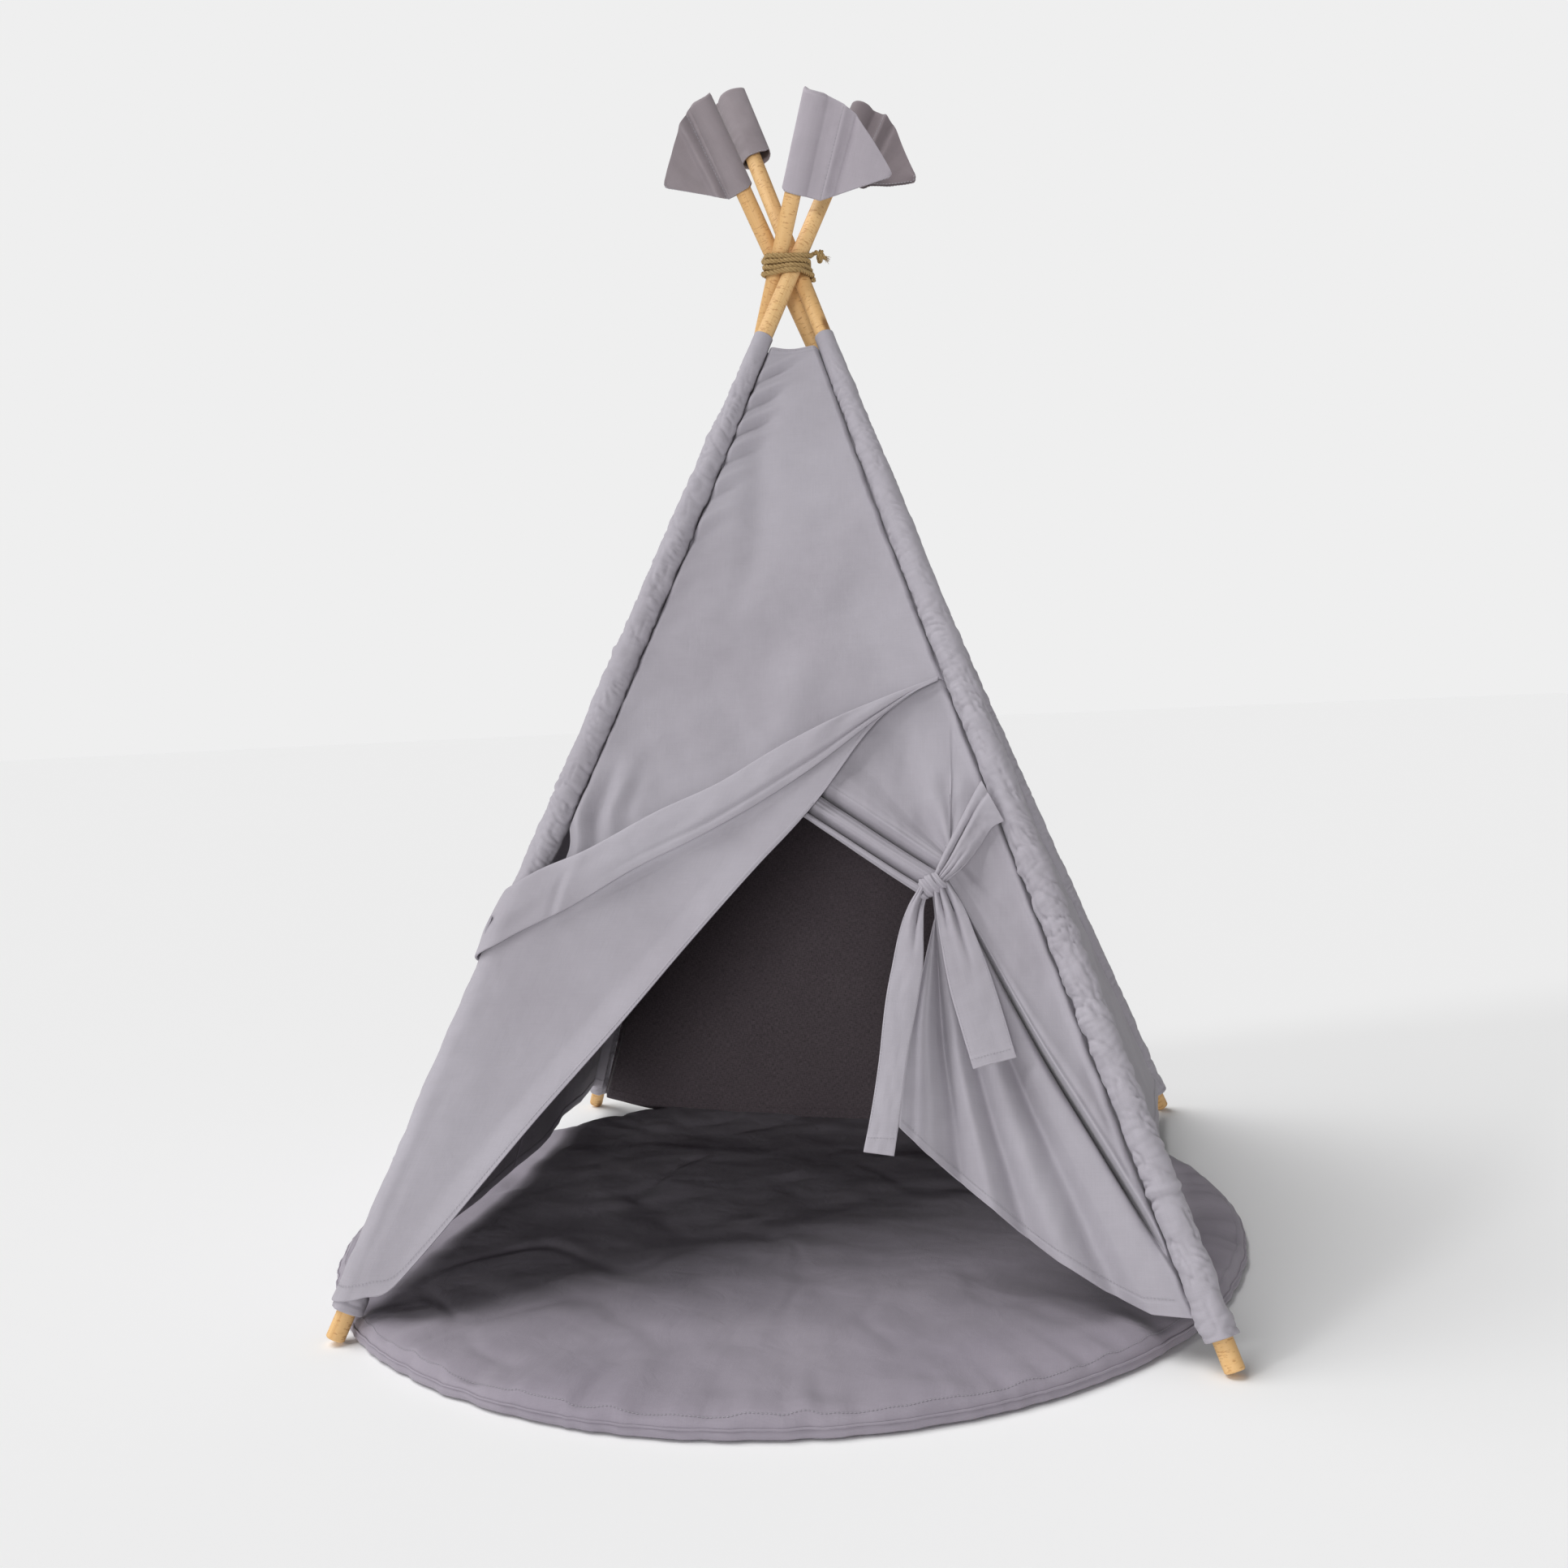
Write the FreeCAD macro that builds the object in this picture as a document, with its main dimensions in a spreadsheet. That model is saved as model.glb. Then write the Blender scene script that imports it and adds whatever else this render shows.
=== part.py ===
"""Children's teepee tent: four round poles lashed together near the top, a cotton cover with a sleeve
for each pole, a closed front panel over two door flaps that are tied open, a fabric flag on each pole
top and a round padded mat as the floor.

Frame: the origin is on the floor under the lashing, +Z is up and the doorway faces -Y. Millimetres.
Each wall of the cover is laid out in its own sloping plane, from the floor edge up to the lashing. The
outlines there are given as a distance along the floor edge and a height above the floor.
"""
import FreeCAD, Part
import math
import os
import re

import Sketcher
from FreeCAD import Vector

doc = FreeCAD.newDocument("teepee_tent")

# ---------------------------------------------------------------- driving dimensions
DIMENSIONS = [
    # the four poles
    ("lashing_height", 1400),
    ("foot_half_span", 535),
    ("pole_length_front_left", 1865),
    ("pole_length_front_right", 1935),
    ("pole_length_back_left", 1820),
    ("pole_length_back_right", 1840),
    ("pole_radius", 12),
    ("pole_edge_bevel", 1.5),
    ("pole_offset_at_lashing", 13.2),
    # the sleeves and the four walls
    ("cloth_thickness", 1.2),
    ("wall_thickness", 2),
    ("sleeve_radius", 14),
    ("sleeve_bottom_height", 44),
    ("sleeve_top_height", 1283),
    ("wall_edge_gap", 17),
    ("wall_top_height", 1271),
    ("wall_hem_height", 48),
    # the doorway and its flaps
    ("right_apex_height", 786),
    ("left_apex_height", 552),
    ("door_top_x", 140),
    ("door_top_height", 745),
    ("door_left_x", -430),
    ("door_left_height", 92),
    ("gather_left_x", 39),
    ("gather_left_height", 615),
    ("gather_top_height", 700),
    ("fan_top_x", 212),
    ("fan_top_height", 500),
    ("fan_middle_x", 218),
    ("fan_middle_height", 300),
    ("fan_hem_x", 271),
    ("fan_hem_height", 162),
    ("inner_flap_depth", 5),
    ("outer_flap_offset", 24),
    ("flap_overhang", 22),
    ("wrap_depth", 118),
    ("wrap_foot_depth", 30),
    # the two ties
    ("knot_x", 212),
    ("knot_height", 524),
    ("knot_radius", 14),
    ("knot_depth", 22),
    ("knot_bevel", 5),
    ("knot_standoff", 6),
    ("anchor_x", 276),
    ("anchor_height", 620),
    ("band_width_at_anchor", 54),
    ("band_width_at_knot", 24),
    ("band_knot_gap", 17),
    ("tail_width_at_knot", 20),
    ("tail_width_at_end", 44),
    ("tail_drop", 195),
    ("tail_spread", 62),
    ("hanging_tail_drop", 320),
    ("hanging_tail_spread", 72),
    ("left_knot_height", 430),
    ("left_knot_inset", 88),
    # the flags on the pole tops
    ("flag_length", 134),
    ("flag_cap", 2),
    ("flag_channel_width", 43),
    ("flag_shoulder_x", 60),
    ("flag_shoulder_drop", 12),
    ("flag_corner_x", 128),
    ("flag_corner_rise", 50),
    ("flag_top_x", 32),
    # the rope
    ("rope_diameter", 7),
    ("rope_pitch", 7.5),
    ("rope_end_length", 34),
    # the mat
    ("mat_radius", 635),
    ("mat_thickness", 30),
    ("mat_rim_thickness", 14),
    ("mat_seam_height", 8),
    ("mat_bevel", 14),
    ("mat_slope_width", 90),
    ("mat_clearance", 0.4),
    ("mat_centre_x", -40),
    ("mat_centre_y", -95),
]

FLAG_TURN = 22  # degrees that each flag turns away from the X direction
ROPE_TURNS = 4
ROPE_CLEARANCE = 1.3

sheet = doc.addObject("Spreadsheet::Sheet", "Dimensions")
for row, (alias, value) in enumerate(DIMENSIONS, start=1):
    sheet.set(f"A{row}", alias.replace("_", " "))
    sheet.set(f"B{row}", str(value))
    sheet.setAlias(f"B{row}", alias)
doc.recompute()


def size(alias):
    """A driving dimension, as a number in millimetres."""
    return float(sheet.get(alias))


def expression(text):
    """A formula written with plain aliases, as an expression that other objects can use."""
    aliases = {alias for alias, _ in DIMENSIONS}
    return re.sub(r"[a-z_]+", lambda word: sheet_name(word[0], aliases), text)


def sheet_name(word, aliases):
    return f"{sheet.Name}.{word}" if word in aliases else word


# ---------------------------------------------------------------- the shape of the frame
LASHING = size("lashing_height")
SPAN = size("foot_half_span")
FRONT, RIGHT, BACK, LEFT = range(4)
# Each pole stands at one corner of the square base: the sign of its x and of its y.
CORNERS = {
    "front_left": (-1, -1),
    "front_right": (1, -1),
    "back_left": (-1, 1),
    "back_right": (1, 1),
}


def pole_line(corner):
    """The foot and the direction of a pole's axis. At the lashing the four axes pass beside each
    other: each one is offset from the middle, a quarter turn ahead of its own foot."""
    sign_x, sign_y = CORNERS[corner]
    offset = size("pole_offset_at_lashing")
    foot = Vector(sign_x * SPAN, sign_y * SPAN, 0)
    crossing = Vector(-sign_y * offset, sign_x * offset, LASHING)
    return foot, (crossing - foot).normalize()


def point_on_pole(corner, height):
    """The point of a pole's axis at a height above the floor."""
    foot, direction = pole_line(corner)
    return foot + direction * (height / direction.z)


def frame_at(origin, x_axis, z_axis):
    """A placement with its origin, its X direction and its Z direction."""
    rotation = FreeCAD.Rotation(x_axis, z_axis.cross(x_axis), z_axis, "ZXY")
    return FreeCAD.Placement(origin, rotation)


def pole_frame(corner):
    """A frame with its Z along the pole's axis and its origin where the axis meets the floor."""
    foot, direction = pole_line(corner)
    return frame_at(foot, direction.cross(Vector(0, 0, 1)).normalize(), direction)


def wall_frame(wall, outward=0.0):
    """The plane of a wall. X runs along the floor edge, Y up the slope and Z straight out."""
    turn = FreeCAD.Rotation(Vector(0, 0, 1), 90 * wall)
    normal = Vector(0, -LASHING, SPAN).normalize()
    origin = Vector(0, -SPAN, 0) + normal * outward
    return frame_at(turn.multVec(origin), turn.multVec(Vector(1, 0, 0)), turn.multVec(normal))


def wall_point(wall, along, height, outward=0.0):
    """The point of a wall at a distance along the floor edge and a height above the floor."""
    slope = height / LASHING * math.hypot(SPAN, LASHING)
    return wall_frame(wall, outward).multVec(Vector(along, slope, 0))


def left_axis(height):
    """Where the pole at a wall's left edge stands at a height, along the floor edge."""
    reach = f"(foot_half_span + pole_offset_at_lashing) * ({height}) / lashing_height"
    return f"({reach} - foot_half_span)"


def right_axis(height):
    """Where the pole at a wall's right edge stands at a height, along the floor edge."""
    reach = f"(foot_half_span - pole_offset_at_lashing) * ({height}) / lashing_height"
    return f"(foot_half_span - {reach})"


def on_slope(outline):
    """An outline whose heights above the floor become distances up a wall's slope."""
    stretch = "sqrt(1 + (foot_half_span / lashing_height)^2)"
    return [(along, f"({height}) * {stretch}") for along, height in outline]


# ---------------------------------------------------------------- bodies, sketches and features
def new_body(label, placement):
    body = doc.addObject("PartDesign::Body", label)
    body.Label = label
    body.Placement = placement
    parts.append(body)
    return body


def draw_outline(body, role, outline):
    """A sketch of straight lines on one of the body's own origin planes. Both coordinates of each
    corner are bound to the dimensions."""
    plane = next(item for item in body.Origin.OriginFeatures if item.Role == role)
    sketch = body.newObject("Sketcher::SketchObject", body.Label + "_outline")
    sketch.AttachmentSupport = [(plane, "")]
    sketch.MapMode = "FlatFace"
    formulas = [(expression(str(x)), expression(str(y))) for x, y in outline]
    numbers = [[float(sketch.evalExpression(text)) for text in pair] for pair in formulas]
    corners = [Vector(x, y, 0) for x, y in numbers]
    for start, end in zip(corners, corners[1:] + corners[:1]):
        sketch.addGeometry(Part.LineSegment(start, end), False)
    for line in range(len(corners)):
        follower = (line + 1) % len(corners)
        sketch.addConstraint(Sketcher.Constraint("Coincident", line, 2, follower, 1))
    for line in range(len(corners)):
        for axis, number, formula in zip("XY", numbers[line], formulas[line]):
            place = sketch.addConstraint(Sketcher.Constraint("Distance" + axis, line, 1, number))
            name = f"corner_{line}_{axis.lower()}"
            sketch.renameConstraint(place, name)
            sketch.setExpression("Constraints." + name, formula)
    return sketch


def add_pad(body, role, outline, thickness, side="One side"):
    pad = body.newObject("PartDesign::Pad", body.Label + "_pad")
    pad.Profile = draw_outline(body, role, outline)
    pad.SideType = side
    pad.setExpression("Length", expression(thickness))


def add_turned(body, outline):
    """A round shape: an outline of radii and heights, turned about the body's Z axis."""
    revolution = body.newObject("PartDesign::Revolution", body.Label + "_turn")
    revolution.Profile = draw_outline(body, "XZ_Plane", outline)
    revolution.ReferenceAxis = (revolution.Profile[0], ["V_Axis"])
    revolution.Angle = 360


def cloth_on_wall(label, wall, outline, outward=0.0):
    """A flat piece of cloth in the plane of a wall."""
    add_pad(new_body(label, wall_frame(wall, outward)), "XY_Plane", on_slope(outline), "wall_thickness")


# ---------------------------------------------------------------- poles, sleeves and flags
def make_pole(corner):
    """A round wooden pole with bevelled ends, cut square, so that its lower rim meets the floor. The
    poles reach through the lashing by different amounts."""
    _, direction = pole_line(corner)
    tilt = math.sqrt(1 - direction.z**2) / direction.z
    foot = f"pole_radius * {tilt}"
    top = f"{foot} + pole_length_{corner}"
    outline = [
        (0, foot),
        ("pole_radius - pole_edge_bevel", foot),
        ("pole_radius", f"{foot} + pole_edge_bevel"),
        ("pole_radius", f"{top} - pole_edge_bevel"),
        ("pole_radius - pole_edge_bevel", top),
        (0, top),
    ]
    add_turned(new_body(f"pole_{corner}", pole_frame(corner)), outline)


def make_sleeve(corner):
    """The cloth tube that a pole slides into. The pole's foot stays bare."""
    _, direction = pole_line(corner)
    bottom = f"sleeve_bottom_height / {direction.z}"
    top = f"sleeve_top_height / {direction.z}"
    bore = "sleeve_radius - cloth_thickness"
    outline = [(bore, bottom), ("sleeve_radius", bottom), ("sleeve_radius", top), (bore, top)]
    add_turned(new_body(f"sleeve_{corner}", pole_frame(corner)), outline)


def make_flag(corner):
    """A fabric flag: a closed-ended channel over the pole's top, with a fan that points outwards."""
    sign_x, sign_y = CORNERS[corner]
    foot, direction = pole_line(corner)
    tilt = math.sqrt(1 - direction.z**2) / direction.z
    length = size(f"pole_length_{corner}")
    pole_top = foot + direction * (size("pole_radius") * tilt + length)
    turn = math.radians(FLAG_TURN)
    outwards = Vector(-sign_x * math.cos(turn), -sign_y * math.sin(turn), 0)
    x_axis = (outwards - direction * outwards.dot(direction)).normalize()
    body = new_body(f"flag_{corner}", frame_at(pole_top, x_axis, direction))
    bore = "sleeve_radius - cloth_thickness"
    add_turned(
        body,
        [
            (bore, "0 - flag_length"),
            ("sleeve_radius", "0 - flag_length"),
            ("sleeve_radius", "flag_cap"),
            (0, "flag_cap"),
            (0, 0),
            (bore, 0),
        ],
    )
    wall = "sleeve_radius - cloth_thickness / 2"
    fan = [
        (wall, "0 - flag_length"),
        ("flag_channel_width", "0 - flag_length"),
        ("flag_corner_x", "flag_corner_rise - flag_length"),
        ("flag_shoulder_x", "0 - flag_shoulder_drop"),
        ("flag_top_x", "flag_cap"),
        (wall, "flag_cap"),
    ]
    add_pad(body, "XZ_Plane", fan, "wall_thickness", side="Symmetric")


# ---------------------------------------------------------------- walls and door flaps
def make_closed_wall(label, wall):
    """A wall that is closed from its hem to its top, between two sleeves."""
    bottom, top = "wall_hem_height", "wall_top_height"
    outline = [
        (f"{left_axis(bottom)} + wall_edge_gap", bottom),
        (f"{right_axis(bottom)} - wall_edge_gap", bottom),
        (f"{right_axis(top)} - wall_edge_gap", top),
        (f"{left_axis(top)} + wall_edge_gap", top),
    ]
    cloth_on_wall(label, wall, outline)


def make_front_panel():
    """The closed part of the front. Its lower edge runs down from the right seam to the left."""
    left, right, top = "left_apex_height", "right_apex_height", "wall_top_height"
    outline = [
        (f"{left_axis(left)} + wall_edge_gap", left),
        (f"{right_axis(right)} - wall_edge_gap", right),
        (f"{right_axis(top)} - wall_edge_gap", top),
        (f"{left_axis(top)} + wall_edge_gap", top),
    ]
    cloth_on_wall("front_panel", FRONT, outline)


def make_left_flap():
    """The outer door flap, drawn from the right seam across the front and over the left sleeve. Its
    edge is wrapped round the pole and lies along the outside of the left wall."""
    bottom, top, right = "wall_hem_height", "left_apex_height", "right_apex_height"
    outline = [
        (f"{right_axis(right)} - wall_edge_gap", right),
        (f"{left_axis(top)} - flap_overhang", top),
        (f"{left_axis(bottom)} - flap_overhang", bottom),
        ("door_left_x", "door_left_height"),
        ("door_top_x", "door_top_height"),
    ]
    cloth_on_wall("left_door_flap", FRONT, outline, size("outer_flap_offset"))
    wrap = [
        (f"{right_axis(top)} + flap_overhang", top),
        (f"{right_axis('left_knot_height')} - wrap_depth", "left_knot_height"),
        (f"{right_axis(bottom)} - wrap_foot_depth", bottom),
        (f"{right_axis(bottom)} + flap_overhang", bottom),
    ]
    cloth_on_wall("left_flap_wrap", LEFT, wrap, size("outer_flap_offset"))


def make_right_flap():
    """The inner door flap, gathered up to the right tie and fanning out again below it."""
    bottom, right = "wall_hem_height", "right_apex_height"
    outline = [
        (f"{right_axis(right)} - wall_edge_gap", right),
        ("gather_left_x", "gather_top_height"),
        ("gather_left_x", "gather_left_height"),
        ("fan_top_x", "fan_top_height"),
        ("fan_middle_x", "fan_middle_height"),
        ("fan_hem_x", "fan_hem_height"),
        (f"{right_axis(bottom)} - wall_edge_gap", bottom),
    ]
    cloth_on_wall("right_door_flap", FRONT, outline, -size("inner_flap_depth"))


# ---------------------------------------------------------------- ties
def make_knot(label, place, outwards):
    """A tie's knot, as a bevelled drum that stands out from the cloth."""
    body = new_body(label, frame_at(place, outwards.cross(Vector(0, 0, 1)).normalize(), outwards))
    outline = [
        (0, 0),
        ("knot_radius - knot_bevel", 0),
        ("knot_radius", "knot_bevel"),
        ("knot_radius", "knot_depth - knot_bevel"),
        ("knot_radius - knot_bevel", "knot_depth"),
        (0, "knot_depth"),
    ]
    add_turned(body, outline)


def make_right_tie():
    """The tie that holds the right flap: a band from the sleeve, its knot and two tails. The outer
    tail lies on the flap and the inner one hangs straight down in the doorway."""
    standoff = size("knot_standoff")
    band = [
        ("anchor_x", "anchor_height + band_width_at_anchor / 2"),
        ("anchor_x", "anchor_height - band_width_at_anchor / 2"),
        ("knot_x + band_knot_gap", "knot_height - band_width_at_knot / 4"),
        ("knot_x + band_knot_gap / 2", "knot_height + band_width_at_knot"),
    ]
    cloth_on_wall("right_tie_band", FRONT, band, standoff)
    place = wall_point(FRONT, size("knot_x"), size("knot_height"), standoff)
    outwards = wall_frame(FRONT).Rotation.multVec(Vector(0, 0, 1))
    make_knot("right_tie_knot", place, outwards)
    below = "knot_height - knot_radius - 2"
    outer = [
        ("knot_x", below),
        ("knot_x + tail_width_at_knot", below),
        ("knot_x + tail_spread + tail_width_at_end / 2", "knot_height - tail_drop"),
        ("knot_x + tail_spread - tail_width_at_end / 2", "knot_height - tail_drop - knot_bevel"),
    ]
    cloth_on_wall("right_tie_tail_outer", FRONT, outer, standoff)
    middle = place + outwards * (size("knot_depth") / 2)
    start = Vector(0, middle.y, middle.z - size("knot_radius") - size("wall_thickness"))
    hanging = new_body(
        "right_tie_tail_inner", frame_at(start, Vector(1, 0, 0), Vector(0, -1, 0))
    )
    inner = [
        ("knot_x - tail_width_at_knot", 0),
        ("knot_x", 0),
        ("knot_x - hanging_tail_spread + tail_width_at_knot / 2", "0 - hanging_tail_drop"),
        ("knot_x - hanging_tail_spread - tail_width_at_end / 2", "0 - hanging_tail_drop"),
    ]
    add_pad(hanging, "XY_Plane", inner, "wall_thickness", side="Symmetric")


def make_left_tie():
    """The tie that holds the left flap: it runs back over the wrapped flap, outside the left wall,
    and its knot and tails lie on that wall."""
    outward = size("outer_flap_offset") + 2 * size("wall_thickness")
    knot_along = f"({right_axis('left_knot_height')} - left_knot_inset)"
    band = [
        (f"{right_axis('left_knot_height')} + flap_overhang", "left_knot_height + band_width_at_anchor"),
        (f"{knot_along} + band_knot_gap", "left_knot_height + band_width_at_knot / 2"),
        (f"{knot_along} + band_knot_gap", "left_knot_height - band_width_at_knot / 2"),
        (f"{right_axis('left_knot_height')} + flap_overhang", "left_knot_height + band_width_at_knot"),
    ]
    cloth_on_wall("left_tie_band", LEFT, band, outward)
    along = float(sheet.evalExpression(knot_along))
    outwards = wall_frame(LEFT).Rotation.multVec(Vector(0, 0, 1))
    make_knot("left_tie_knot", wall_point(LEFT, along, size("left_knot_height"), outward), outwards)
    below = "left_knot_height - knot_radius - 2"
    for name, side in (("front", 1), ("back", -1)):
        near, far = f"{side} * 2", f"{side} * (2 + tail_width_at_knot)"
        end_near, end_far = f"{side} * 10", f"{side} * (10 + tail_width_at_end)"
        tail = [
            (f"{knot_along} + {near}", below),
            (f"{knot_along} + {far}", below),
            (f"{knot_along} + {end_far}", "left_knot_height - tail_drop"),
            (f"{knot_along} + {end_near}", "left_knot_height - tail_drop"),
        ]
        cloth_on_wall(f"left_tie_tail_{name}", LEFT, tail, outward)


# ---------------------------------------------------------------- lashing
def rounded_path(points, radius):
    """Straight runs between the points, joined by arcs that touch both runs."""
    edges = []
    start = points[0]
    for before, corner, after in zip(points, points[1:], points[2:]):
        back = (before - corner).normalize()
        ahead = (after - corner).normalize()
        half_turn = (math.pi - back.getAngle(ahead)) / 2
        tangent = radius * math.tan(half_turn)
        middle = (back + ahead).normalize()
        inset = radius / math.cos(half_turn) - radius
        first, last = corner + back * tangent, corner + ahead * tangent
        edges.append(Part.LineSegment(start, first).toShape())
        edges.append(Part.Arc(first, corner + middle * inset, last).toShape())
        start = last
    edges.append(Part.LineSegment(start, points[-1]).toShape())
    return Part.Wire(edges)


def make_lashing():
    """The rope wound round the crossing poles, climbing one rope's width a turn, and its knot."""
    radius = size("rope_diameter") / 2
    reach = size("pole_radius") / pole_line("front_left")[1].z + radius + ROPE_CLEARANCE
    order = ["front_right", "back_right", "back_left", "front_left"]
    climb = size("rope_pitch") / len(order)
    start_height = LASHING - size("rope_pitch") * ROPE_TURNS / 2
    corners = []
    for step in range(ROPE_TURNS * len(order)):
        height = start_height + climb * (step + 0.5)
        axis = point_on_pole(order[step % len(order)], height)
        outwards = Vector(axis.x, axis.y, 0).normalize()
        corners.append(axis + outwards * (reach * math.sqrt(2)))
    start = (corners[0] + corners[3]) / 2
    start.z = start_height
    end = (corners[-1] + corners[-4]) / 2
    end.z = start_height + size("rope_pitch") * ROPE_TURNS
    path = rounded_path([start] + corners + [end], reach)
    section = Part.Wire(Part.Circle(path.Edges[0].valueAt(0), path.Edges[0].tangentAt(0), radius).toShape())
    rope = doc.addObject("Part::Feature", "lashing_rope")
    rope.Label = "lashing_rope"
    rope.Shape = path.makePipeShell([section], True, False)
    parts.append(rope)
    swept = math.pi * radius**2 * path.Length
    print(f"rope: {path.Length:.0f} mm long, volume {rope.Shape.Volume / swept:.4f} of its section swept")
    outwards = Vector(1, 0, 0)
    knot = new_body("lashing_knot", frame_at(end + outwards * (radius + 1), Vector(0, 1, 0), outwards))
    add_turned(
        knot,
        [
            (0, 0),
            ("rope_diameter * 0.9", "rope_diameter * 0.2"),
            ("rope_diameter * 1.25", "rope_diameter"),
            ("rope_diameter * 0.9", "rope_diameter * 2"),
            ("rope_diameter / 2", "rope_diameter * 2.4"),
            ("rope_diameter * 0.7", "rope_end_length"),
            (0, "rope_end_length"),
        ],
    )


# ---------------------------------------------------------------- mat
def make_mat():
    """The round mat: an underside, a top cover that comes down to it at the rim, and a filling."""
    place = FreeCAD.Placement(Vector(size("mat_centre_x"), size("mat_centre_y"), 0), FreeCAD.Rotation())
    skin, gap = "cloth_thickness", "mat_clearance"
    underside = [
        (0, 0),
        (f"mat_radius - 2 * {skin}", 0),
        ("mat_radius", skin),
        (0, skin),
    ]
    top_cover = [
        (f"mat_radius - {skin}", f"{skin} + {gap} / 2"),
        ("mat_radius", f"{skin} + {gap} / 2"),
        ("mat_radius", "mat_seam_height"),
        ("mat_radius - mat_bevel", "mat_rim_thickness"),
        ("mat_radius - mat_slope_width", "mat_thickness"),
        (0, "mat_thickness"),
        (0, f"mat_thickness - {skin}"),
        ("mat_radius - mat_slope_width", f"mat_thickness - {skin}"),
        ("mat_radius - mat_bevel", f"mat_rim_thickness - {skin}"),
        (f"mat_radius - {skin}", f"mat_seam_height - {skin}"),
    ]
    filling = [
        (0, f"{skin} + {gap}"),
        (f"mat_radius - {skin} - {gap}", f"{skin} + {gap}"),
        (f"mat_radius - {skin} - {gap}", f"mat_seam_height - {skin} - {gap} * 2"),
        ("mat_radius - mat_bevel", f"mat_rim_thickness - {skin} - {gap}"),
        ("mat_radius - mat_slope_width", f"mat_thickness - {skin} - {gap}"),
        (0, f"mat_thickness - {skin} - {gap}"),
    ]
    for label, outline in (
        ("mat_underside", underside),
        ("mat_top_cover", top_cover),
        ("mat_filling", filling),
    ):
        add_turned(new_body(label, place), outline)


# ---------------------------------------------------------------- the whole tent
parts = []
for corner_name in CORNERS:
    make_pole(corner_name)
    make_sleeve(corner_name)
    make_flag(corner_name)
make_front_panel()
make_closed_wall("right_panel", RIGHT)
make_closed_wall("back_panel", BACK)
make_closed_wall("left_panel", LEFT)
make_left_flap()
make_right_flap()
make_right_tie()
make_left_tie()
make_lashing()
make_mat()
doc.recompute()

for item in doc.Objects:
    if "Invalid" in item.State or "Error" in item.State:
        raise RuntimeError(f"{item.Label} did not recompute: {item.State}")
for part in parts:
    if part.Shape.isNull() or not part.Shape.isValid() or len(part.Shape.Solids) != 1:
        raise RuntimeError(f"{part.Label} is not one valid solid")

os.makedirs("parts", exist_ok=True)
for part in parts:
    part.Shape.exportStep(f"parts/{part.Label}.step")
    print(f"{part.Label}: {part.Shape.Volume / 1000:.1f} cm3")
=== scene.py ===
"""The looks of the teepee tent: every soft piece is built here as cloth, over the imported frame."""
import math

import bpy
import numpy as np
from mathutils import Matrix, Vector


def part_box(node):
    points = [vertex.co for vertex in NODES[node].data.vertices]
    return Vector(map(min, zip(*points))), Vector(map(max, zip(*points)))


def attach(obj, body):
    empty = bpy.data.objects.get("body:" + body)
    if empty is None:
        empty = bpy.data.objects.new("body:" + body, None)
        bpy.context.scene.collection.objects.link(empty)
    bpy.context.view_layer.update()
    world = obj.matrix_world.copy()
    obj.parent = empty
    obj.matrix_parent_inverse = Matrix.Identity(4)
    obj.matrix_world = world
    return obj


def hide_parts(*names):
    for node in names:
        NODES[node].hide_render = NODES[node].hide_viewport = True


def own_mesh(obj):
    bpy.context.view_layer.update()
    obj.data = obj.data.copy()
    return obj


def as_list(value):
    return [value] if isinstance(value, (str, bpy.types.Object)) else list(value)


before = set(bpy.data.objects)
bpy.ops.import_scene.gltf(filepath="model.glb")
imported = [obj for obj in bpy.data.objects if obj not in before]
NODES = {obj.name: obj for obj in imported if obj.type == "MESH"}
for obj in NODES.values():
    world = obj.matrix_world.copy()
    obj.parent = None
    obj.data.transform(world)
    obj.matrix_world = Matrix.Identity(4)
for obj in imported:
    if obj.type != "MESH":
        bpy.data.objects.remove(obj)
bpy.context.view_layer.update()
# The cotton's thickness and the poles' radius.
CLOTH = 0.0012
POLE_RADIUS = 0.012


# ---------------------------------------------------------------- small tools
def noise3(x, y, z, seed):
    """Smooth gradient noise, about -1 to 1, for arrays of points."""
    x, y, z = np.broadcast_arrays(np.asarray(x, float), np.asarray(y, float), np.asarray(z, float))
    cells = [np.floor(c).astype(np.int64) for c in (x, y, z)]
    inner = [c - f for c, f in zip((x, y, z), cells)]
    fade = [f * f * f * (f * (f * 6 - 15) + 10) for f in inner]
    total = np.zeros(x.shape)
    for corner in range(8):
        step = [(corner >> axis) & 1 for axis in range(3)]
        key = [(c + s).astype(np.uint64) for c, s in zip(cells, step)]
        n = key[0] * np.uint64(73856093) ^ key[1] * np.uint64(19349663) ^ key[2] * np.uint64(83492791)
        n = (n ^ np.uint64(seed * 7919 + 17)) & np.uint64(0xFFFFFFFF)
        n = ((n ^ (n >> np.uint64(15))) * np.uint64(2246822519)) & np.uint64(0xFFFFFFFF)
        n = ((n ^ (n >> np.uint64(13))) * np.uint64(3266489917)) & np.uint64(0xFFFFFFFF)
        n = n ^ (n >> np.uint64(16))
        dot = np.zeros(x.shape)
        weight = np.ones(x.shape)
        for axis in range(3):
            part = (n >> np.uint64(10 * axis)) & np.uint64(1023)
            dot += (part.astype(float) / 511.5 - 1) * (inner[axis] - step[axis])
            weight = weight * (fade[axis] if step[axis] else 1 - fade[axis])
        total += dot * weight
    return total * 1.4


def noise(x, y, seed, octaves=1):
    """The same over a plane, with finer and weaker layers added to it."""
    total, size = 0, 1.0
    for octave in range(octaves):
        total = total + noise3(x * 2**octave, y * 2**octave, 0.37, seed + octave) * size
        size *= 0.5
    return total


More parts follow.
